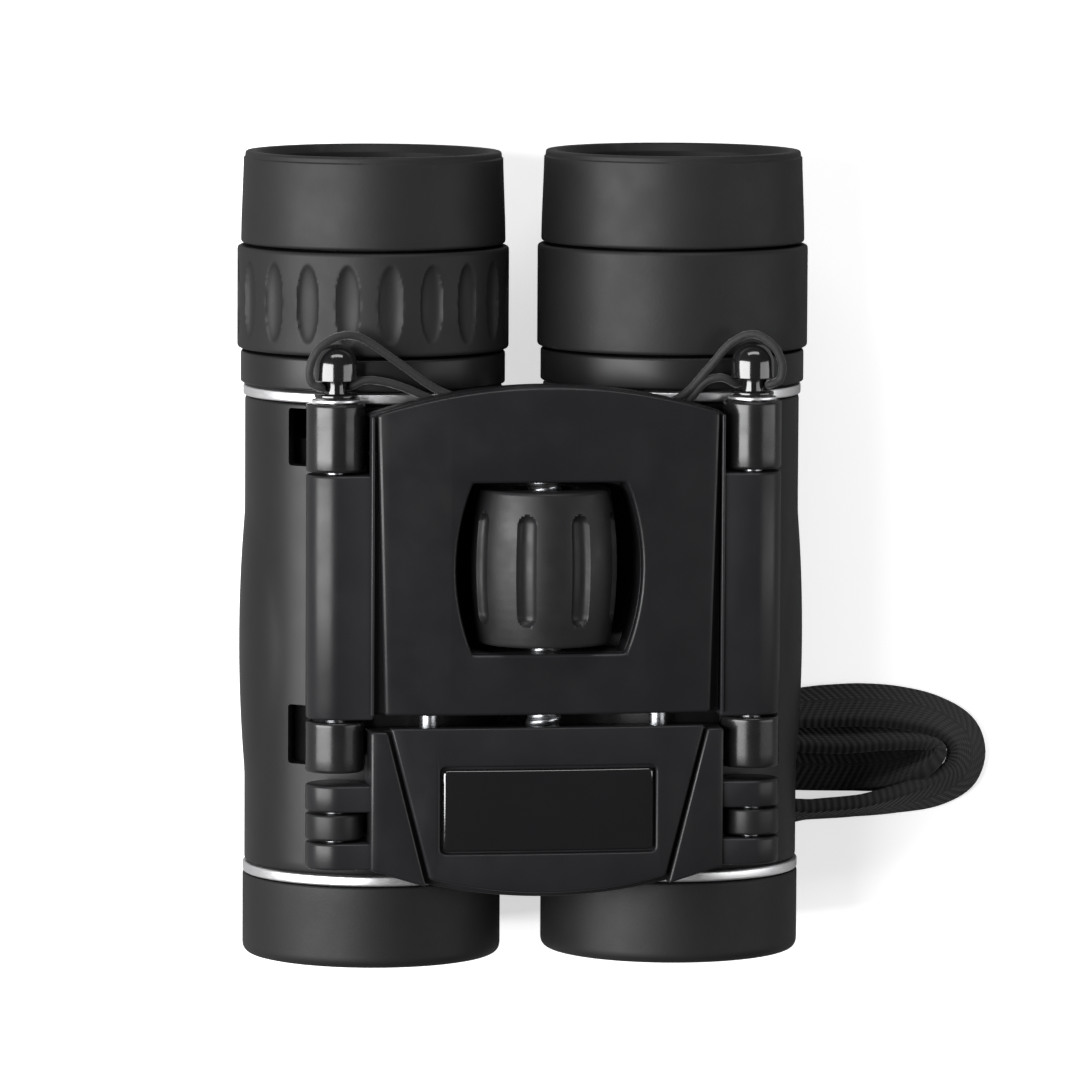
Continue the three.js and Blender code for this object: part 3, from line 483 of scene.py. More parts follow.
def turn(bm, profile, centre, segments=128, closed=True, shape=None):
    # Turns a profile of (radius, y) about an axis along Y; shape moves a point's radius.
    cx, cz = centre
    rings = []
    for r, y in profile:
        ring = []
        for k in range(segments):
            angle = math.tau * k / segments
            radius = shape(r, angle, y) if shape else r
            ring.append(bm.verts.new((
                cx + radius * math.sin(angle), y, cz + radius * math.cos(angle),
            )))
        rings.append(ring)
    skin(bm, rings, closed)


def turnSolid(bm, profile, centre, segments=96, rounding=0.15, steps=4, shape=None):
    # A profile that starts and ends on the axis.
    turn(bm, softened(profile, rounding, steps, False), centre, segments, False, shape)


def rodProfile(radius, y0, y1):
    return [(0, y0), (radius, y0), (radius, y1), (0, y1)]


def extrude(bm, outlines, low, high, rounding, steps=3):
    # Outlines drawn in X and Y that share their seams, as thick as low to high in Z.
    known = {}

    def corner(x, y):
        key = (round(x, 4), round(y, 4))
        if key not in known:
            known[key] = work.verts.new((x, y, low))
        return known[key]

    work = bmesh.new()
    for outline in outlines:
        work.faces.new([corner(x, y) for x, y in outline])
    made = bmesh.ops.extrude_face_region(work, geom=work.faces[:])
    tops = [v for v in made["geom"] if isinstance(v, bmesh.types.BMVert)]
    for v in tops:
        v.co.z = high
    bmesh.ops.recalc_face_normals(work, faces=work.faces[:])
    sharp = [
        e for e in work.edges
        if len(e.link_faces) == 2 and e.calc_face_angle() > math.radians(32)
    ]
    bmesh.ops.bevel(
        work, geom=sharp, offset=rounding, offset_type="OFFSET", segments=steps,
        profile=0.5, affect="EDGES", clamp_overlap=True,
    )
    return joinInto(bm, work)


def joinInto(bm, work, matrix=None):
    if matrix is not None:
        bmesh.ops.transform(work, matrix=matrix, verts=work.verts[:])
    scratch = bpy.data.meshes.new("scratch")
    work.to_mesh(scratch)
    work.free()
    before = len(bm.verts)
    bm.from_mesh(scratch)
    bpy.data.meshes.remove(scratch)
    bm.verts.ensure_lookup_table()
    return bm.verts[before:]


def sliceAcross(bm, xs):
    for x in xs:
        bmesh.ops.bisect_plane(
            bm, geom=bm.verts[:] + bm.edges[:] + bm.faces[:], dist=0.001,
            plane_co=(x, 0, 0), plane_no=(1, 0, 0),
        )


def carved(bm, cutter):
    # Exact cut of one closed mesh by another.
    objects = []
    for work in (bm, cutter):
        mesh = bpy.data.meshes.new("carving")
        bmesh.ops.recalc_face_normals(work, faces=work.faces[:])
        work.to_mesh(mesh)
        work.free()
        block = bpy.data.objects.new("carving", mesh)
        bpy.context.collection.objects.link(block)
        objects.append(block)
    cut = objects[0].modifiers.new("cut", "BOOLEAN")
    cut.operation = "DIFFERENCE"
    cut.solver = "EXACT"
    cut.object = objects[1]
    bpy.context.view_layer.update()
    seen = objects[0].evaluated_get(bpy.context.evaluated_depsgraph_get())
    result = bmesh.new()
    result.from_mesh(seen.to_mesh())
    seen.to_mesh_clear()
    for block in objects:
        mesh = block.data
        bpy.data.objects.remove(block)
        bpy.data.meshes.remove(mesh)
    return result


def boxAt(bm, x0, x1, y0, y1, z0, z1, rounding=0.0, matrix=None, steps=3):
    work = bmesh.new()
    bmesh.ops.create_cube(work, size=1)
    for v in work.verts:
        v.co = (
            x0 + (v.co.x + 0.5) * (x1 - x0),
            y0 + (v.co.y + 0.5) * (y1 - y0),
            z0 + (v.co.z + 0.5) * (z1 - z0),
        )
    if rounding:
        bmesh.ops.bevel(
            work, geom=work.edges[:], offset=rounding, offset_type="OFFSET", segments=steps,
            profile=0.5, affect="EDGES", clamp_overlap=True,
        )
    return joinInto(bm, work, matrix)


signOf = {"right": 1, "left": -1}


def hingeMatrix(sign):
    # From a barrel's own place, with +Z towards its hinge, to the bench.
    return Matrix.Translation((sign * barrelX, 0, 0)) @ Matrix.Rotation(sign * hingeTilt, 4, "Y")


def smoothRoute(points, perSpan):
    # A centripetal curve through the points; numbers past the third are blended evenly.
    out = []
    spots = [Vector(p[:3]) for p in points]
    for i in range(len(points) - 1):
        p1, p2 = spots[i], spots[i + 1]
        p0 = spots[i - 1] if i else 2 * p1 - p2
        p3 = spots[i + 2] if i + 2 < len(points) else 2 * p2 - p1
        t0 = max((p1 - p0).length ** 0.5, 1e-4)
        t1 = max((p2 - p1).length ** 0.5, 1e-4)
        t2 = max((p3 - p2).length ** 0.5, 1e-4)
        m1 = ((p1 - p0) / t0 - (p2 - p0) / (t0 + t1) + (p2 - p1) / t1) * t1
        m2 = ((p2 - p1) / t1 - (p3 - p1) / (t1 + t2) + (p3 - p2) / t2) * t1
        for k in range(perSpan):
            t = k / perSpan
            spot = (
                p1 * (2 * t ** 3 - 3 * t ** 2 + 1) + m1 * (t ** 3 - 2 * t ** 2 + t)
                + p2 * (3 * t ** 2 - 2 * t ** 3) + m2 * (t ** 3 - t ** 2)
            )
            extras = [a + (b - a) * t for a, b in zip(points[i][3:], points[i + 1][3:])]
            out.append((*spot, *extras))
    out.append((*spots[-1], *points[-1][3:]))
    return out


def routeLength(route):
    spots = [Vector(p[:3]) for p in route]
    return sum((b - a).length for a, b in zip(spots, spots[1:])) * mm


def evened(route, step):
    # The same route with its points a chosen step apart.
    out = [route[0]]
    left = step
    for a, b in zip(route, route[1:]):
        start, end = Vector(a[:3]), Vector(b[:3])
        length = (end - start).length
        done = 0.0
        while length - done >= left:
            done += left
            t = done / length
            out.append(tuple(p + (q - p) * t for p, q in zip(a, b)))
            left = step
        left -= length - done
    if (Vector(out[-1][:3]) - Vector(route[-1][:3])).length > step * 0.3:
        out.append(route[-1])
    return out


# ---- neck strap and its cords ----

strap = {
    "width": 6.2, "thickness": 1.7, "pitch": 2.2, "runs": 8, "hankFront": -26.6, "hankRear": 14,
    "edgeRadius": 0.55, "squeeze": 0.35, "length": 0.54,
}
ferrule = {"radius": 1.9, "front": -5, "length": 11, "leftHeight": 8.4, "rightHeight": 12.69}
tie = {"y": -10, "width": 4, "thickness": 0.3, "corner": 1.0}
cordLoop = {"diameter": 0.95, "waistRadius": 1.2, "length": {"right": 0.105, "left": 0.113}}

# x, y, height above the floor, and tilt: 0 lies flat, 90 stands on its edge.
leadPoints = [
    (0, -5.3, 8.4, 0), (0, -13, 7.4, 0), (0, -22, 7.4, 0), (-0.8, -27, 7.2, 0),
    (-3.4, -29.8, 5.6, 30), (-6, -30.8, 3.8, 70), (-7.4, -29.6, 3.2, 90), (-7.7, -27.5, 3.2, 90),
]
loosePoints = [
    (7.75, -22.6, 3.2, 88), (9, -24.2, 3.2, 62), (11.6, -24.8, 2.4, 30), (16, -25, 1, 0),
    (24, -26, 1, 0), (32, -26.9, 1, 0), (41, -27.2, 1.15, 4), (46, -27.1, 2.25, 28),
    (49.8, -26.3, 3.25, 70), (51.4, -24.8, 3.25, 96), (50, -23.5, 3.2, 112), (46, -23, 3.2, 120),
    (40, -23.2, 3.15, 124), (34, -23.1, 3.2, 118), (29.5, -22.8, 3.25, 98), (27.6, -21.6, 3.25, 90),
    (29.4, -20.2, 3.25, 82), (34, -20.3, 3.2, 62), (38, -20.1, 3.1, 56), (42.6, -20, 3.1, 54),
    (47, -20.4, 3.1, 54), (51.4, -21.6, 3.1, 54), (54.3, -23.7, 3.0, 48), (54.9, -26, 2.95, 43),
    (54.1, -28.2, 2.95, 43), (51.4, -29.9, 3.05, 50), (47, -31, 3.2, 62), (42, -31.8, 3.25, 72),
    (36, -32.2, 3.25, 74), (30, -32.7, 3.1, 56), (24, -33.2, 1.95, 20), (17, -33.3, 1, 0),
    (11, -33.4, 1.7, 15), (6.2, -33, 4.2, 40), (2.6, -31.4, 7.4, 25), (0.6, -28, 9.5, 0),
    (0, -22, 9.7, 0), (0, -13, 10.2, 0), (0, -5.3, 12.69, 0),
]


def hankPoints():
    # The folded middle: runs on edge, side by side, joined by half turns.
    points = []
    bend = strap["pitch"] / 2
    inset = bend + strap["thickness"] / 2
    front, rear = strap["hankFront"] + inset, strap["hankRear"] - inset
    for i in range(strap["runs"]):
        x = (i - (strap["runs"] - 1) / 2) * strap["pitch"]
        start, end = (front, rear) if i % 2 == 0 else (rear, front)
        for k in range(1 if i == 0 else 0, 13):
            y = start + (end - start) * k / 12
            points.append((x, y, 3.15, 90))
        if i == strap["runs"] - 1:
            break
        way = 1 if i % 2 == 0 else -1
        for k in range(1, 6):
            angle = math.pi * k / 6
            points.append((
                x + bend - bend * math.cos(angle), end + way * bend * math.sin(angle), 3.15, 90,
            ))
    return points[:-1]


def bandSection():
    # Half outlines of the band's rounded section: across and through, with a place from 0 to 1.
    w, t, r = strap["width"] / 2, strap["thickness"] / 2, strap["edgeRadius"]
    corners = softened([(w, t, r), (-w, t, r), (-w, -t, r), (w, -t, r)], r, 4)
    return dense(corners, 0.8)


def makeBand():
    points = leadPoints + hankPoints() + loosePoints
    route = evened(smoothRoute(points, 10), 0.45)
    section = bandSection()
    bm = bmesh.new()
    uv = bm.loops.layers.uv.new("bandPlace")
    rings, along = [], 0.0
    for i, (x, y, height, tilt) in enumerate(route):
        before = Vector(route[max(i - 1, 0)][:3])
        after = Vector(route[min(i + 1, len(route) - 1)][:3])
        tangent = (after - before).normalized()
        side = tangent.cross(Vector((0, 0, 1))).normalized()
        rise = side.cross(tangent)
        turnBy = math.radians(tilt)
        across = side * math.cos(turnBy) + rise * math.sin(turnBy)
        through = rise * math.cos(turnBy) - side * math.sin(turnBy)
        centre = Vector((x, y, floorHeight + height))
        if i:
            along += (centre - Vector((*route[i - 1][:2], floorHeight + route[i - 1][2]))).length
        inHank = abs(x) < 8.6 and height < 5 and -26 < y < 14
        held = max(0.0, 1 - max(abs(y - tie["y"]) - tie["width"] / 2, 0) / 2.5) if inHank else 0.0
        held = held * held * (3 - 2 * held)
        thin = 1 - strap["squeeze"] * held
        narrow = 1 - 0.1 * held
        ring = [
            bm.verts.new(centre + across * (w * narrow) + through * (t * thin)) for w, t in section
        ]
        rings.append((ring, along))
    places = [w / strap["width"] + 0.5 for w, t in section]
    for (first, startAlong), (second, endAlong) in zip(rings, rings[1:]):
        for k in range(len(section)):
            n = (k + 1) % len(section)
            face = bm.faces.new((first[k], first[n], second[n], second[k]))
            spots = [(places[k], startAlong), (places[n], startAlong),
                     (places[n], endAlong), (places[k], endAlong)]
            for loop, spot in zip(face.loops, spots):
                loop[uv].uv = spot
    for ring, _ in (rings[0], rings[-1]):
        bm.faces.new(ring)
    bandPath = [place(x, y, floorHeight + height) for x, y, height, _ in route]
    nodes = ["strap_lead", "strap_hank", "strap_band"]
    piece = newPiece("neckStrap", bm, "webbing", "right_barrel", nodes, 60)
    print("strap route", round(routeLength(route), 4), "m")
    return piece, bandPath


def cordRoute(side):
    sign, spreadBy = (1, 0) if side == "right" else (-1, 3.4)
    rearY = ferrule["front"] + ferrule["length"] + 0.3
    low = floorHeight + ferrule[side + "Height"]
    waistY = 20.4
    out = [
        (0.65, rearY, low), (0.7, 9.6, low + 0.3), (1.15, 13.4, low * 0.56), (1.3, 15, 0),
        (1.7, 15.4, 6), (5, 15.6, 12.3), (10 - spreadBy, 16.8 + spreadBy / 4, 15.1),
        (15.6 - spreadBy, 18.9 + spreadBy / 3, 15.8),
        (18.6 - spreadBy / 2, 22.2 + spreadBy / 3, 16.8), (21.2, 25.2 + spreadBy / 4, 17.5),
        (23.5, 26.1, 18.1), (25.7, 24.8, 18.6), (26.7, 22.6, 18.5), (26.4, waistY + 0.5, 18.2),
    ]
    loopRadius = cordLoop["waistRadius"] + 0.3 + cordLoop["diameter"] / 2
    waist = []
    for k in range(6):
        angle = math.radians(28 - 180 * k / 5)
        waist.append((
            hinge["x"] + loopRadius * math.cos(angle), waistY,
            hinge["z"] + loopRadius * math.sin(angle),
        ))
    back = [
        (20.2, waistY + 0.7, 16.6), (18.4 - spreadBy / 3, 20.7, 16.4),
        (15.7 - spreadBy, 17.6 + spreadBy / 3, 15.6), (10 - spreadBy, 15.4 + spreadBy / 4, 15.1),
        (5, 14.2, 12.3), (1.7, 14, 6), (1.3, 13.5, 0), (0.9, 11.8, low * 0.56 - 0.3),
        (-0.4, 9.2, low + 0.3), (-0.65, rearY, low),
    ]
    return [(sign * x, y, z) for x, y, z in out + waist + back]


def makeCord(side):
    # A round cord with the low spiral ridges of a braid.
    route = evened(smoothRoute(cordRoute(side), 12), 0.16)
    bm = bmesh.new()
    around, strands, twistLength = 14, 4, 1.5
    radius = cordLoop["diameter"] / 2
    rings = []
    normal = Vector((0, 0, 1))
    for i, spot in enumerate(route):
        before = Vector(route[max(i - 1, 0)])
        after = Vector(route[min(i + 1, len(route) - 1)])
        tangent = (after - before).normalized()
        normal = (normal - tangent * normal.dot(tangent)).normalized()
        other = tangent.cross(normal)
        phase = math.tau * i * 0.16 / twistLength
        ring = []
        for k in range(around):
            angle = math.tau * k / around
            ridge = max(abs(math.cos((strands * angle + phase) / 2)),
                        abs(math.cos((strands * angle - phase) / 2)))
            r = radius * (0.9 + 0.1 * ridge)
            ring.append(bm.verts.new(Vector(spot) + normal * (r * math.cos(angle))
                                     + other * (r * math.sin(angle))))
        rings.append(ring)
    skin(bm, rings, False)
    for ring in (rings[0], rings[-1]):
        bm.faces.new(ring)
    piece = newPiece(side + "Cord", bm, "cord", None, [side + "_cord"], 80)
    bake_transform(piece)
    print(side, "cord route", round(routeLength(route), 4), "m")
    return piece, [place(*spot) for spot in route[::3] + [route[-1]]]


def makeFerrule(side):
    # A moulded end: rounded, with four grip rings.
    r, y0, y1 = ferrule["radius"], ferrule["front"], ferrule["front"] + ferrule["length"]
    z = floorHeight + ferrule[side + "Height"]
    profile = [(0, y0), (r - 0.1, y0, 0.3)]
    for k in range(4):
        y = y0 + 2.6 + k * 1.6
        profile += [(r - 0.05, y, 0.1), (r - 0.3, y + 0.25, 0.1),
                    (r - 0.3, y + 0.6, 0.1), (r - 0.05, y + 0.85, 0.1)]
    profile += [(r, y1 - 1.6, 0.5), (r - 0.5, y1, 0.4), (0, y1)]
    bm = bmesh.new()
    turnSolid(bm, profile, (0, z), 48)
    return newPiece(side + "FerruleMoulding", bm, "ferrule", "right_barrel",
                    [side + "_strap_ferrule"])


def makeTie():
    # A woven elastic loop round the folded strap.
    half = (strap["runs"] - 1) * strap["pitch"] / 2 + strap["thickness"] / 2
    high = strap["width"] - 0.02
    corner = tie["corner"]
    loop = softened([(half, 0.02, corner), (half, high, corner), (-half, high, corner),
                     (-half, 0.02, corner)], corner, 5)
    loop = dense(loop, 0.5)
    rows = 13
    bm = bmesh.new()
    rings = []
    for inner in (False, True):
        for k in range(rows):
            row = k if not inner else rows - 1 - k
            y = tie["y"] + (row / (rows - 1) - 0.5) * tie["width"]
            ridge = 0.05 * (row % 2) if not inner else tie["thickness"]
            ring = []
            for x, z in loop:
                middle = Vector((0, high / 2))
                inward = Vector((-math.copysign(min(1, abs(x) / half) ** 6, x), 0))
                inward.y = -math.copysign(min(1, abs(z - middle.y) / (high / 2)) ** 6,
                                          z - middle.y)
                spot = Vector((x, z)) + inward.normalized() * ridge
                ring.append(bm.verts.new((spot.x, y, floorHeight + spot.y)))
            rings.append(ring)
    skin(bm, rings, True)
    return newPiece("elasticTie", bm, "tie", "right_barrel", ["strap_tie"], 50)


def makeStrap():
    band, bandRoute = makeBand()
    elastic = makeTie()
    crossed = {"left": ("front_bridge", "rear_bridge"), "right": ("right_barrel", "right_carriage")}
    for side, bodies in crossed.items():
        cord, route = makeCord(side)
        end = makeFerrule(side)


makeStrap()
print("strap and cords made")

# ---- barrels ----

shell = {
    "radius": 14.5, "bore": 12.3, "front": -35, "rear": 18, "neckRadius": 13.4, "neckLength": 3.4,
    "swell": 0.65, "swellY": -10, "swellReach": 46, "swellWidth": 12, "swellHeight": 12.2,
    "lug": (-30.3, -27.4), "rearSlot": (11, 17.5), "frontSlot": (-22.7, -16),
    "slotInner": -1.8, "slotOuter": 6.7, "knuckle": 3.3,
}


def swollenRadius(side):
    sign = signOf[side]
    offset = shell["radius"] + shell["swell"] - shell["swellWidth"]
    blur = 0.035

    def radiusAt(r, angle, y):
        outward = sign * math.sin(angle)
        if r < shell["radius"] - 0.6 or outward <= 0.2:
            return r
        upward = math.cos(angle)
        a = (outward / shell["swellWidth"]) ** 2 + (upward / shell["swellHeight"]) ** 2
        b = -2 * offset * outward / shell["swellWidth"] ** 2
        c = (offset / shell["swellWidth"]) ** 2 - 1
        c += ((y - shell["swellY"]) / shell["swellReach"]) ** 2
        inside = b * b - 4 * a * c
        if inside <= 0:
            return r
        proud = (-b + math.sqrt(inside)) / (2 * a) - shell["radius"]
        if proud > 8 * blur:
            return r + proud
        return r + blur * math.log1p(math.exp(proud / blur))

    return radiusAt


def makeShell(side):
    sign = signOf[side]
    front = shell["front"] - shell["neckLength"]
    profile = softened([
        (shell["bore"], front), (shell["neckRadius"], front), (shell["neckRadius"], shell["front"]),
        (shell["radius"], shell["front"], 0.4), (shell["radius"], shell["rear"], 0.4),
        (shell["bore"], shell["rear"]),
    ], 0.15, 3)
    bm = bmesh.new()
    turn(bm, dense(profile, 0.8), (sign * barrelX, 0), 176, True, swollenRadius(side))
    cutter = bmesh.new()
    hingeWay = hingeMatrix(sign)
    x0, x1 = sorted((sign * shell["slotInner"], sign * shell["slotOuter"]))
    for y0, y1 in (shell["rearSlot"], shell["frontSlot"]):
        boxAt(cutter, x0, x1, y0, y1, 9.5, 19, 0.35, hingeWay, 2)
    bm = carved(bm, cutter)
    y0, y1 = shell["lug"]
    boxAt(bm, -2, 2, y0, y1, shell["neckRadius"], hingeDistance, 0.3, hingeWay)
    knuckleProfile = softened(rodProfile(shell["knuckle"], y0, y1), 0.3, 4, False)
    turn(bm, knuckleProfile, (sign * hinge["x"], hinge["z"]), 72, False)
    return newPiece(side + "Shell", bm, "shell", side + "_barrel", [side + "_barrel_body"])


bell = {
    "gap": 0.15, "length": 9.2, "radius": 14.7, "neck": 13.55, "seat": -38.7, "hood": 11.8,
    "rounding": 2.2, "mouth": 12.05, "lip": 11.9,
}


def makeBell(side):
    low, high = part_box(side + "_front_trim_ring")
    rear = (low.y - midY) / mm - bell["gap"]
    front = rear - bell["length"]
    centre = ((low.x + high.x) / 2 / mm, 0)
    neck, seat, hood = bell["neck"], bell["seat"], bell["hood"]
    profile = [
        (neck, rear), (bell["radius"], rear, 0.3), (bell["radius"], front, bell["rounding"]),
        (bell["mouth"], front, 0.15), (bell["lip"], front + 0.5, 0.2), (hood, seat - 0.6, 0.1),
        (hood, seat, 0.1), (neck, seat, 0.1),
    ]
    bm = bmesh.new()
    turn(bm, dense(softened(profile, 0.15, 8), 1.5), centre, 144)
    return newPiece(side + "Bell", bm, "rubber", side + "_barrel", [side + "_objective_bell"])


def ringOf(side, nodeName, profile, finish, body, name, rounding=0.15, segments=144, shape=None,
           step=1.5):
    sign = signOf[side]
    bm = bmesh.new()
    turn(bm, dense(softened(profile, rounding, 4), step), (sign * barrelX, 0), segments, True, shape)
    return newPiece(side + name, bm, finish, body, [nodeName])


gripRing = {
    "radius": 15.4, "inner": 11.4, "front": 23.5, "length": 11.6, "recesses": 20,
    "recessLength": 9.0, "recessWidth": 2.9, "recessDepth": 0.6,
}


def pressedRadius(r, angle, y):
    # Lens-shaped finger recesses pressed into the ring.
    if r < gripRing["radius"] - 0.5:
        return r
    pitch = math.tau / gripRing["recesses"]
    offset = (angle + pitch / 2) % pitch - pitch / 2
    across = offset * gripRing["radius"] / (gripRing["recessWidth"] / 2)
    along = (y - gripRing["front"] - gripRing["length"] / 2) / (gripRing["recessLength"] / 2)
    left = 1 - across ** 2 - along ** 2
    if left <= 0:
        return r
    deep = gripRing["recessDepth"] * 1.4
    return r - max(deep * math.sqrt(left) - deep * 0.15, 0) * 0.9


def makeGripRing(side):
    y0, y1 = gripRing["front"], gripRing["front"] + gripRing["length"]
    profile = [
        (gripRing["inner"], y0), (gripRing["radius"], y0, 0.45), (gripRing["radius"], y1, 0.45),
        (gripRing["inner"], y1),
    ]
    if side == "left":
        return ringOf(side, "left_dioptre_ring", profile, "rubber", "dioptre_ring", "DioptreRing",
                      0.15, 480, pressedRadius, 0.24)
    return ringOf(side, "right_plain_grip_ring", profile, "rubber", "right_barrel", "GripRing")


def makeEyecup(side):
    # Soft rubber: a slight waist, a rolled rim with a fine lip, and a dished mouth.
    y0, y1, floorY = 35.4, 45.8, 40.0
    profile = [
        (11.4, y0), (15.0, y0, 0.4), (14.95, y0 + 2.5, 1), (14.72, y1 - 1.7, 1),
        (14.7, y1 - 0.75, 0.15), (14.55, y1 - 0.65, 0.1), (14.5, y1, 0.5), (13.3, y1, 0.35),
        (12.75, y1 - 0.9, 0.4), (12.2, floorY + 0.5, 0.6), (11.4, floorY, 0.2),
    ]
    body = "dioptre_ring" if side == "left" else "right_barrel"
    return ringOf(side, side + "_eyecup", profile, "rubber", body, "Eyecup", 0.15, 160)


ocular = {
    "bore": 9.4, "radius": 11.1, "front": 18.3, "rear": 40.0, "mouth": 8.6, "lip": 8.2,
    "lensRadius": 9.25, "eyeLens": (37.2, 3.6, 1.0), "fieldLens": (20.8, 3.0, 0.7),
}


def makeOcular(side):
    body = "left_ocular" if side == "left" else "right_barrel"
    bore, radius, lip = ocular["bore"], ocular["radius"], ocular["lip"]
    front, rear = ocular["front"], ocular["rear"]
    profile = [
        (bore, front), (radius, front, 0.2), (radius, rear, 0.35), (ocular["mouth"], rear, 0.3),
        (lip, 39.6, 0.2), (lip, 39.2, 0.1), (bore, 39.2, 0.1),
    ]
    ringOf(side, side + "_ocular_tube", profile, "inner_plastic", body, "OcularTube", 0.1, 112)
    lens = ocular["lensRadius"]
    makeLens(side, "eye_lens", "EyeLens", lens, *ocular["eyeLens"], "glass", body)
    makeLens(side, "field_lens", "FieldLens", lens, *ocular["fieldLens"], "glass", body)


def makeLens(side, nodeName, name, radius, y, thickness, bulge, finish, body):
    sign = signOf[side]
    profile = []
    rows = 12
    edge = thickness / 2 - bulge
    for k in range(rows + 1):
        r = radius * k / rows
        profile.append((r, y - edge - bulge * (1 - (r / radius) ** 2)))
    for k in range(rows, -1, -1):
        r = radius * k / rows
        profile.append((r, y + edge + bulge * (1 - (r / radius) ** 2)))
    bm = bmesh.new()
    turn(bm, profile, (sign * barrelX, 0), 96, False)
    newPiece(side + name, bm, finish, body, [side + "_" + nodeName], 40)


carriage = {
    "tube": (-34.2, -16.2), "outer": 12, "inner": 11.15, "railEnd": 16.2, "railInner": 10.9,
    "railHalf": 3, "arm": 1.5, "knuckle": 3.3, "rear": (11, 18.6), "front": (-22.7, -17),
    "armInset": 1.3, "shaft": 1.35,
}


def makeCarriage(side):
    sign = signOf[side]
    hingeWay = hingeMatrix(sign)
    y0, y1 = carriage["tube"]
    bm = bmesh.new()
    baffles = [(carriage["outer"], y0), (carriage["outer"], y1), (carriage["inner"], y1)]
    for k in range(5):
        # Anti-glare steps on the inside behind the lens.
        y = y1 - 2 - k * 1.6
        baffles += [(carriage["inner"], y), (carriage["inner"] - 0.4, y - 0.5),
                    (carriage["inner"], y - 0.9)]
    baffles.append((carriage["inner"], y0))
    turn(bm, softened(baffles, 0.1, 3), (sign * barrelX, 0), 96)
    arc = math.asin(carriage["railHalf"] / carriage["outer"])
    outline = []
    for radius, way in ((carriage["outer"], 1), (carriage["railInner"], -1)):
        for k in range(13):
            angle = way * arc * (2 * k / 12 - 1)
            outline.append((radius * math.sin(angle), radius * math.cos(angle)))
    barAlongY(bm, outline, y1 - 0.5, carriage["railEnd"], 0.15, hingeWay)
    for ends in (carriage["rear"], carriage["front"]):
        armFront = ends[0] + carriage["armInset"]
        armRear = min(ends[1], shell["rear"] - 0.5) - carriage["armInset"]
        boxAt(bm, -carriage["arm"], carriage["arm"], armFront, armRear, 11.3, hingeDistance, 0.35,
              hingeWay)
        profile = [
            (carriage["shaft"], ends[0]), (carriage["knuckle"], ends[0], 0.35),
            (carriage["knuckle"], ends[1], 0.35), (carriage["shaft"], ends[1]),
        ]
        turn(bm, dense(softened(profile, 0.1, 4), 1.2), (sign * hinge["x"], hinge["z"]), 80)
    newPiece(side + "Carriage", bm, "carriage", side + "_carriage", [side + "_objective_carriage"])
    makeLens(side, "objective_lens", "ObjectiveLens", 11, -31.1, 3.6, 0.9, "objective_glass",
             side + "_carriage")
    retainer = [(10.1, y0), (11.0, y0), (11.0, y0 + 1), (10.1, y0 + 1), (9.95, y0 + 0.5)]
    ringOf(side, side + "_objective_retainer", retainer, "inner_plastic", side + "_carriage",
           "Retainer", 0.1, 96)


def barAlongY(bm, outline, y0, y1, rounding, matrix=None):
    # An outline in X and Z, as long as from y0 to y1.
    work = bmesh.new()
    extrude(work, [outline], y0, y1, rounding)
    swap = Matrix(((1, 0, 0, 0), (0, 0, 1, 0), (0, 1, 0, 0), (0, 0, 0, 1)))
    return joinInto(bm, work, matrix @ swap if matrix else swap)


hingeCap = {"front": 19.2, "radius": 2.4, "length": 6, "waist": 1.2, "waistLength": 1.6}
hingeRods = {"radius": 1.2, "FrontPin": (-33.2, -24.5), "HingeShaft": (-22.3, 19.05)}


def makeHingeEnd(side):
    sign = signOf[side]
    where = (sign * hinge["x"], hinge["z"])
    y0, r = hingeCap["front"], hingeCap["radius"]
    waistEnd = y0 + 0.4 + hingeCap["waistLength"]
    top = y0 + hingeCap["length"]
    profile = softened([
        (0, y0), (r, y0, 0.12), (r, y0 + 0.4, 0.12), (hingeCap["waist"], y0 + 0.4, 0.1),
        (hingeCap["waist"], waistEnd, 0.1), (r, waistEnd, 0.15),
    ], 0.1, 3, False)
    domeY = top - r
    for k in range(13):
        angle = math.radians(90 * k / 12)
        profile.append((r * math.cos(angle), domeY + r * math.sin(angle)))
    bm = bmesh.new()
    turn(bm, profile, where, 64, False)
    newPiece(side + "DomedCap", bm, "cap", side + "_carriage", [side + "_hinge_cap"])
    washer = [(1.35, 18.75), (2.7, 18.75), (2.7, 19.05), (1.35, 19.05)]
    bm = bmesh.new()
    turn(bm, softened(washer, 0.08, 3), where, 72)
    newPiece(side + "CapWasher", bm, "silver", side + "_carriage", [side + "_cap_washer"])
    bm = bmesh.new()
    turnSolid(bm, rodProfile(hingeRods["radius"], *hingeRods["FrontPin"]), where, 40)
    newPiece(side + "FrontPin", bm, "steel", "front_bridge", [side + "_front_hinge_pin"])
    bm = bmesh.new()
    turnSolid(bm, rodProfile(hingeRods["radius"], *hingeRods["HingeShaft"]), where, 40)
    newPiece(side + "HingeShaft", bm, "steel", side + "_carriage", [side + "_hinge_shaft"])


def makeBarrel(side):
    body = side + "_barrel"
    makeShell(side)
    makeBell(side)
    for nodeName, name, y0, y1, inner in (
        ("_front_trim_ring", "FrontTrim", -36.3, -35.15, 13.55),
        ("_rear_trim_ring", "RearTrim", 18.15, 19.3, 12.45),
    ):
        profile = [(inner, y0), (14.7, y0, 0.25), (14.7, y1, 0.25), (inner, y1)]
        ringOf(side, side + nodeName, profile, "silver", body, name, 0.1, 160, None, 1)
    collar = [
        (11.4, 17.7), (12.15, 17.7), (12.15, 19.6), (15, 19.6, 0.25), (15, 23.2, 0.35), (11.4, 23.2),
    ]
    ringOf(side, side + "_eyepiece_collar", collar, "shell", body, "Collar", 0.1, 160)
    makeGripRing(side)
    makeEyecup(side)
    makeOcular(side)
    makeCarriage(side)
    makeHingeEnd(side)


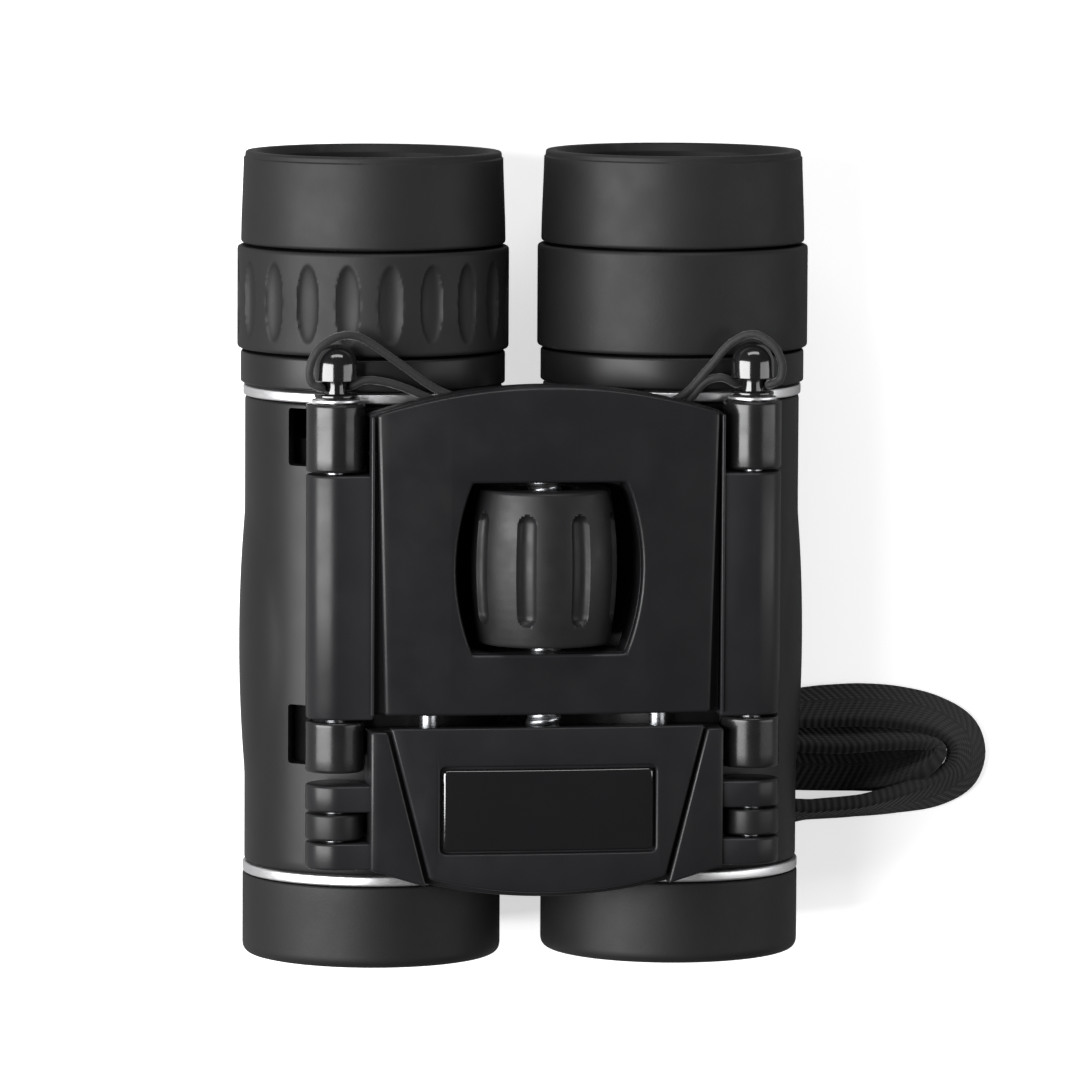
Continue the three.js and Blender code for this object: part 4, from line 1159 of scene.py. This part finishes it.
for side in ("right", "left"):
    makeBarrel(side)
    print(side, "barrel made")

# ---- bridge ----

bridge = {
    "underside": 15.15, "crown": 21.65, "fall": 0.75, "panelHalf": 19.3, "cover": 1.5,
    "rearPlate": (-16.2, 17.6), "rearBow": 3, "frontPlate": (-34.6, -17.6), "frontBow": 1.7,
    "creases": (17.8, 13.4), "side": 19.97, "sleeve": 3.3, "bore": 1.35,
    "rearSleeve": (-16.7, 10.7), "frontLugs": ((-33.6, -30.6), (-27.1, -24.1)),
    "windowEnd": 8.65, "windowMid": 10.5, "window": (-9.35, 9.85), "sliceStep": 1.6,
}
label = {"width": 24.4, "height": 9.8, "y": -26.9, "gap": 0.3, "dome": 0.25}


def crownDrop(x):
    return bridge["fall"] * (x / bridge["panelHalf"]) ** 2


def crowned(bm, middle):
    # Cuts the plate into strips across and lowers its upper side towards both edges.
    step = bridge["sliceStep"]
    sliceAcross(bm, [k * step for k in range(-14, 15)])
    for v in bm.verts:
        if v.co.z > middle:
            v.co.z -= crownDrop(v.co.x)
    bmesh.ops.triangulate(bm, faces=[f for f in bm.faces if len(f.verts) > 4])


def crownedSlab(bm, outlines, low, high, rounding, steps, middle):
    work = bmesh.new()
    extrude(work, outlines, low, high, rounding, steps)
    crowned(work, middle)
    joinInto(bm, work)


def bowed(half, y, bow, steps=16, start=1.0, end=0.0):
    # Points of a bowed edge from the side towards the middle.
    points = []
    for k in range(steps + 1):
        x = half * (start + (end - start) * k / steps)
        points.append((x, y + bow * (1 - (x / half) ** 2)))
    return points


def windowEdge():
    y0, y1 = bridge["window"]
    points = []
    steps = 14
    for k in range(steps + 1):
        across = 2 * k / steps - 1
        x = bridge["windowMid"] - (bridge["windowMid"] - bridge["windowEnd"]) * across ** 2
        points.append((x, y0 + (y1 - y0) * k / steps))
    return points


def bothSides(outline):
    return [outline, [(-x, y) for x, y in reversed(outline)]]


def makeRearBridge():
    y0, y1 = bridge["rearPlate"]
    w0, w1 = bridge["window"]
    sideHalf = bridge["side"]
    window = windowEdge()
    rearArc = bowed(bridge["panelHalf"], y1, bridge["rearBow"])
    outline = [(0, y0), (bridge["panelHalf"] - 0.9, y0)] + rearArc
    outline += [(0, w1)] + window[::-1] + [(0, w0)]
    bm = bmesh.new()
    high = bridge["crown"]
    extrude(bm, bothSides(outline), high - bridge["cover"], high, 0.4, 5)
    crowned(bm, 0)
    newPiece("rearCoverPlate", bm, "bridge", "rear_bridge", ["rear_cover"])

    bm = bmesh.new()
    seat = high - bridge["cover"] - 0.3
    cordY = 13.2
    front = [(0, y0), (sideHalf, y0), (sideHalf, cordY), (0, cordY), (0, w1)]
    front += window[::-1] + [(0, w0)]
    under = bridge["underside"]
    crownedSlab(bm, bothSides(front), under, seat, 0.25, 3, (under + seat) / 2)
    rearHalf = hinge["x"]
    rear = [(0, cordY - 0.2), (sideHalf, cordY - 0.2)]
    rear += bowed(rearHalf, y1 - 1.4, bridge["rearBow"] + 1.4, 14, sideHalf / rearHalf)
    crownedSlab(bm, bothSides(rear), under + 1.2, seat, 0.25, 3, (under + 1.2 + seat) / 2)
    for sign in (1, -1):
        x0, x1 = sorted((sign * (bridge["panelHalf"] + 0.3), sign * sideHalf))
        boxAt(bm, x0, x1, y0, y1 - 0.3, bridge["underside"], high - 0.95, 0.12)
        addSleeve(bm, sign, bridge["rearSleeve"])
    newPiece("rearBridgeShell", bm, "bridge", "rear_bridge", ["rear_bridge_frame"])


def addSleeve(bm, sign, ends):
    # A hinge sleeve and its shoulder as one rounded section.
    r = bridge["sleeve"]
    inner = bridge["panelHalf"] + 0.3
    outline = [(inner, hinge["z"] - 0.8), (inner, hinge["z"] + r)]
    for k in range(37):
        angle = math.radians(90 - 270 * k / 36 * 0.86)
        outline.append((hinge["x"] + r * math.cos(angle), hinge["z"] + r * math.sin(angle)))
    outline = [(sign * x, z) for x, z in outline]
    barAlongY(bm, outline, ends[0], ends[1], 0.3)


def makeFrontBridge():
    y0, y1 = bridge["frontPlate"]
    rearHalf, frontHalf = bridge["creases"]
    high = bridge["crown"]
    halfWidth, halfHeight = label["width"] / 2, label["height"] / 2
    l0, l1 = label["y"] - halfHeight, label["y"] + halfHeight
    frontArc = [(x, 2 * y0 - y) for x, y in bowed(frontHalf, y0, bridge["frontBow"])]
    outline = [(0, l0)] + frontArc[::-1] + [(rearHalf, y1), (0, y1), (0, l1)]
    corner = softened([(0, l1, 0), (halfWidth, l1), (halfWidth, l0), (0, l0, 0)], 0.7, 4)
    outline += corner[1:-1]
    bm = bmesh.new()
    extrude(bm, bothSides(outline), high - bridge["cover"], high, 0.3, 4)
    work = bmesh.new()
    floorLow, floorHigh = high - bridge["cover"], high - 1.05
    extrude(work, [[(-halfWidth - 0.6, l0 - 0.6), (halfWidth + 0.6, l0 - 0.6),
                    (halfWidth + 0.6, l1 + 0.6), (-halfWidth - 0.6, l1 + 0.6)]],
            floorLow + 0.02, floorHigh, 0.05, 1)
    joinInto(bm, work)
    crowned(bm, 0)
    newPiece("frontCoverPlate", bm, "bridge", "front_bridge", ["front_cover"])

    bm = bmesh.new()
    seat = high - bridge["cover"] - 0.3
    sideHalf = bridge["side"]
    lugFront = bridge["frontLugs"][0][0]
    bow = bridge["frontBow"] + 1.6
    frontEdge = [
        (x, 2 * lugFront - y) for x, y in bowed(sideHalf, lugFront, bow)
    ]
    slab = frontEdge[::-1] + [(sideHalf, y1 - 0.4), (0, y1 - 0.4)]
    under = bridge["underside"]
    crownedSlab(bm, bothSides(slab), under, seat, 0.25, 3, (under + seat) / 2)
    wing = [(frontHalf + 0.3, y0 - 0.9), (sideHalf, lugFront), (sideHalf, y1 - 0.4),
            (rearHalf + 0.3, y1 - 0.4)]
    work = bmesh.new()
    for sign in (1, -1):
        extrude(work, [[(sign * x, y) for x, y in wing]], seat - 1.5, high, 0.3, 4)
    crowned(work, seat - 1)
    joinInto(bm, work)
    for sign in (1, -1):
        for ends in bridge["frontLugs"]:
            addSleeve(bm, sign, ends)
    newPiece("frontBridgeShell", bm, "bridge", "front_bridge", ["front_bridge_frame"])


def makeLabel():
    # A blank domed inset: the lettering of such a badge is left out.
    halfWidth = label["width"] / 2 - label["gap"]
    halfHeight = label["height"] / 2 - label["gap"]
    y = label["y"]
    outline = softened([
        (-halfWidth, y - halfHeight), (halfWidth, y - halfHeight),
        (halfWidth, y + halfHeight), (-halfWidth, y + halfHeight),
    ], 0.6, 4)
    bm = bmesh.new()
    high = bridge["crown"]
    extrude(bm, [outline], high - 0.7, high, 0.3, 5)
    sliceAcross(bm, [k * 1.2 for k in range(-9, 10)])
    for k in range(-4, 5):
        bmesh.ops.bisect_plane(
            bm, geom=bm.verts[:] + bm.edges[:] + bm.faces[:], dist=0.001,
            plane_co=(0, y + k * 1.05, 0), plane_no=(0, 1, 0),
        )
    for v in bm.verts:
        lift = (1 - (v.co.x / halfWidth) ** 2) * (1 - ((v.co.y - y) / halfHeight) ** 2)
        lift *= label["dome"] if v.co.z > high - 0.4 else 0
        v.co.z += lift - crownDrop(v.co.x)
    newPiece("labelInset", bm, "label", "front_bridge", ["label_plate"])


wheel = {
    "radius": 8.2, "endRadius": 7.4, "length": 17.4, "y": 0.25, "bore": 3.75, "grooves": 8,
    "grooveLength": 12.4, "grooveWidth": 2.2, "grooveDepth": 0.8,
}


focusRods = {
    "screw": (-32.6, 14.6), "guidePins": (-32.6, -3.75), "guideX": 13, "pitch": 1.5, "depth": 0.12,
}


def groovedRadius(r, angle, y):
    if r < wheel["endRadius"] - 0.6:
        return r
    pitch = math.tau / wheel["grooves"]
    offset = angle % pitch - pitch / 2
    across = offset * wheel["radius"]
    straight = (wheel["grooveLength"] - wheel["grooveWidth"]) / 2
    along = max(abs(y - wheel["y"]) - straight, 0)
    left = 1 - (across ** 2 + along ** 2) / (wheel["grooveWidth"] / 2) ** 2
    if left <= 0:
        return r
    return r - wheel["grooveDepth"] * math.sqrt(left)


def makeFocusGear():
    half = wheel["length"] / 2
    outside = []
    steps = 16
    for k in range(steps + 1):
        across = 2 * k / steps - 1
        radius = wheel["radius"] - (wheel["radius"] - wheel["endRadius"]) * across ** 2
        outside.append((radius, wheel["y"] + half * across, 0.4 if k in (0, steps) else 0))
    hub = [(wheel["bore"], wheel["y"] + half, 0.2), (wheel["bore"], wheel["y"] - half, 0.2)]
    bm = bmesh.new()
    turn(bm, dense(softened(outside + hub, 0.15, 4), 0.24), (0, hinge["z"]), 480, True,
         groovedRadius)
    newPiece("focusingWheel", bm, "wheel", "focus_wheel", ["focus_wheel"])
    nutLow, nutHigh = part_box("focus_nut")
    ends = [(corner.y - midY) / mm for corner in (nutLow, nutHigh)]
    nut = [(2.15, ends[0]), (3.6, ends[0], 0.2), (3.6, ends[1], 0.2), (2.15, ends[1])]
    bm = bmesh.new()
    turn(bm, softened(nut, 0.12, 3), (0, hinge["z"]), 72)
    newPiece("focusingNut", bm, "brass", "focus_wheel", ["focus_nut"])

    def thread(r, angle, y):
        if r < 1.9 or not -32 < y < 14:
            return r
        turns = (y / focusRods["pitch"] - angle / math.tau) % 1
        return r - focusRods["depth"] * (1 + math.cos(math.tau * turns))

    bm = bmesh.new()
    profile = softened(rodProfile(2, *focusRods["screw"]), 0.25, 3, False)
    turn(bm, dense(profile, 0.2, False), (0, hinge["z"]), 40, False, thread)
    newPiece("focusingScrew", bm, "steel", "front_bridge", ["focus_screw"], 60)
    for side, sign in signOf.items():
        bm = bmesh.new()
        rod = rodProfile(1, *focusRods["guidePins"])
        turnSolid(bm, rod, (sign * focusRods["guideX"], hinge["z"]), 36, 0.2)
        newPiece(side + "GuidePin", bm, "steel", "front_bridge", [side + "_guide_pin"])


makeRearBridge()
makeFrontBridge()
makeLabel()
makeFocusGear()
print("bridge made")

# ---- pieces inside, and those that keep their own shape ----

hiddenFinishes = {
    "prism_holder": "inner_plastic", "front_prism": "glass", "roof_prism": "glass",
    "cover_screw": "steel",
}
for name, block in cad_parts.items():
    for ending, finish in hiddenFinishes.items():
        if name.endswith(ending):
            for materialSlot in block.material_slots:
                materialSlot.material = finishes[finish]
            if not block.material_slots:
                block.data.materials.append(finishes[finish])
print("carried pieces finished")
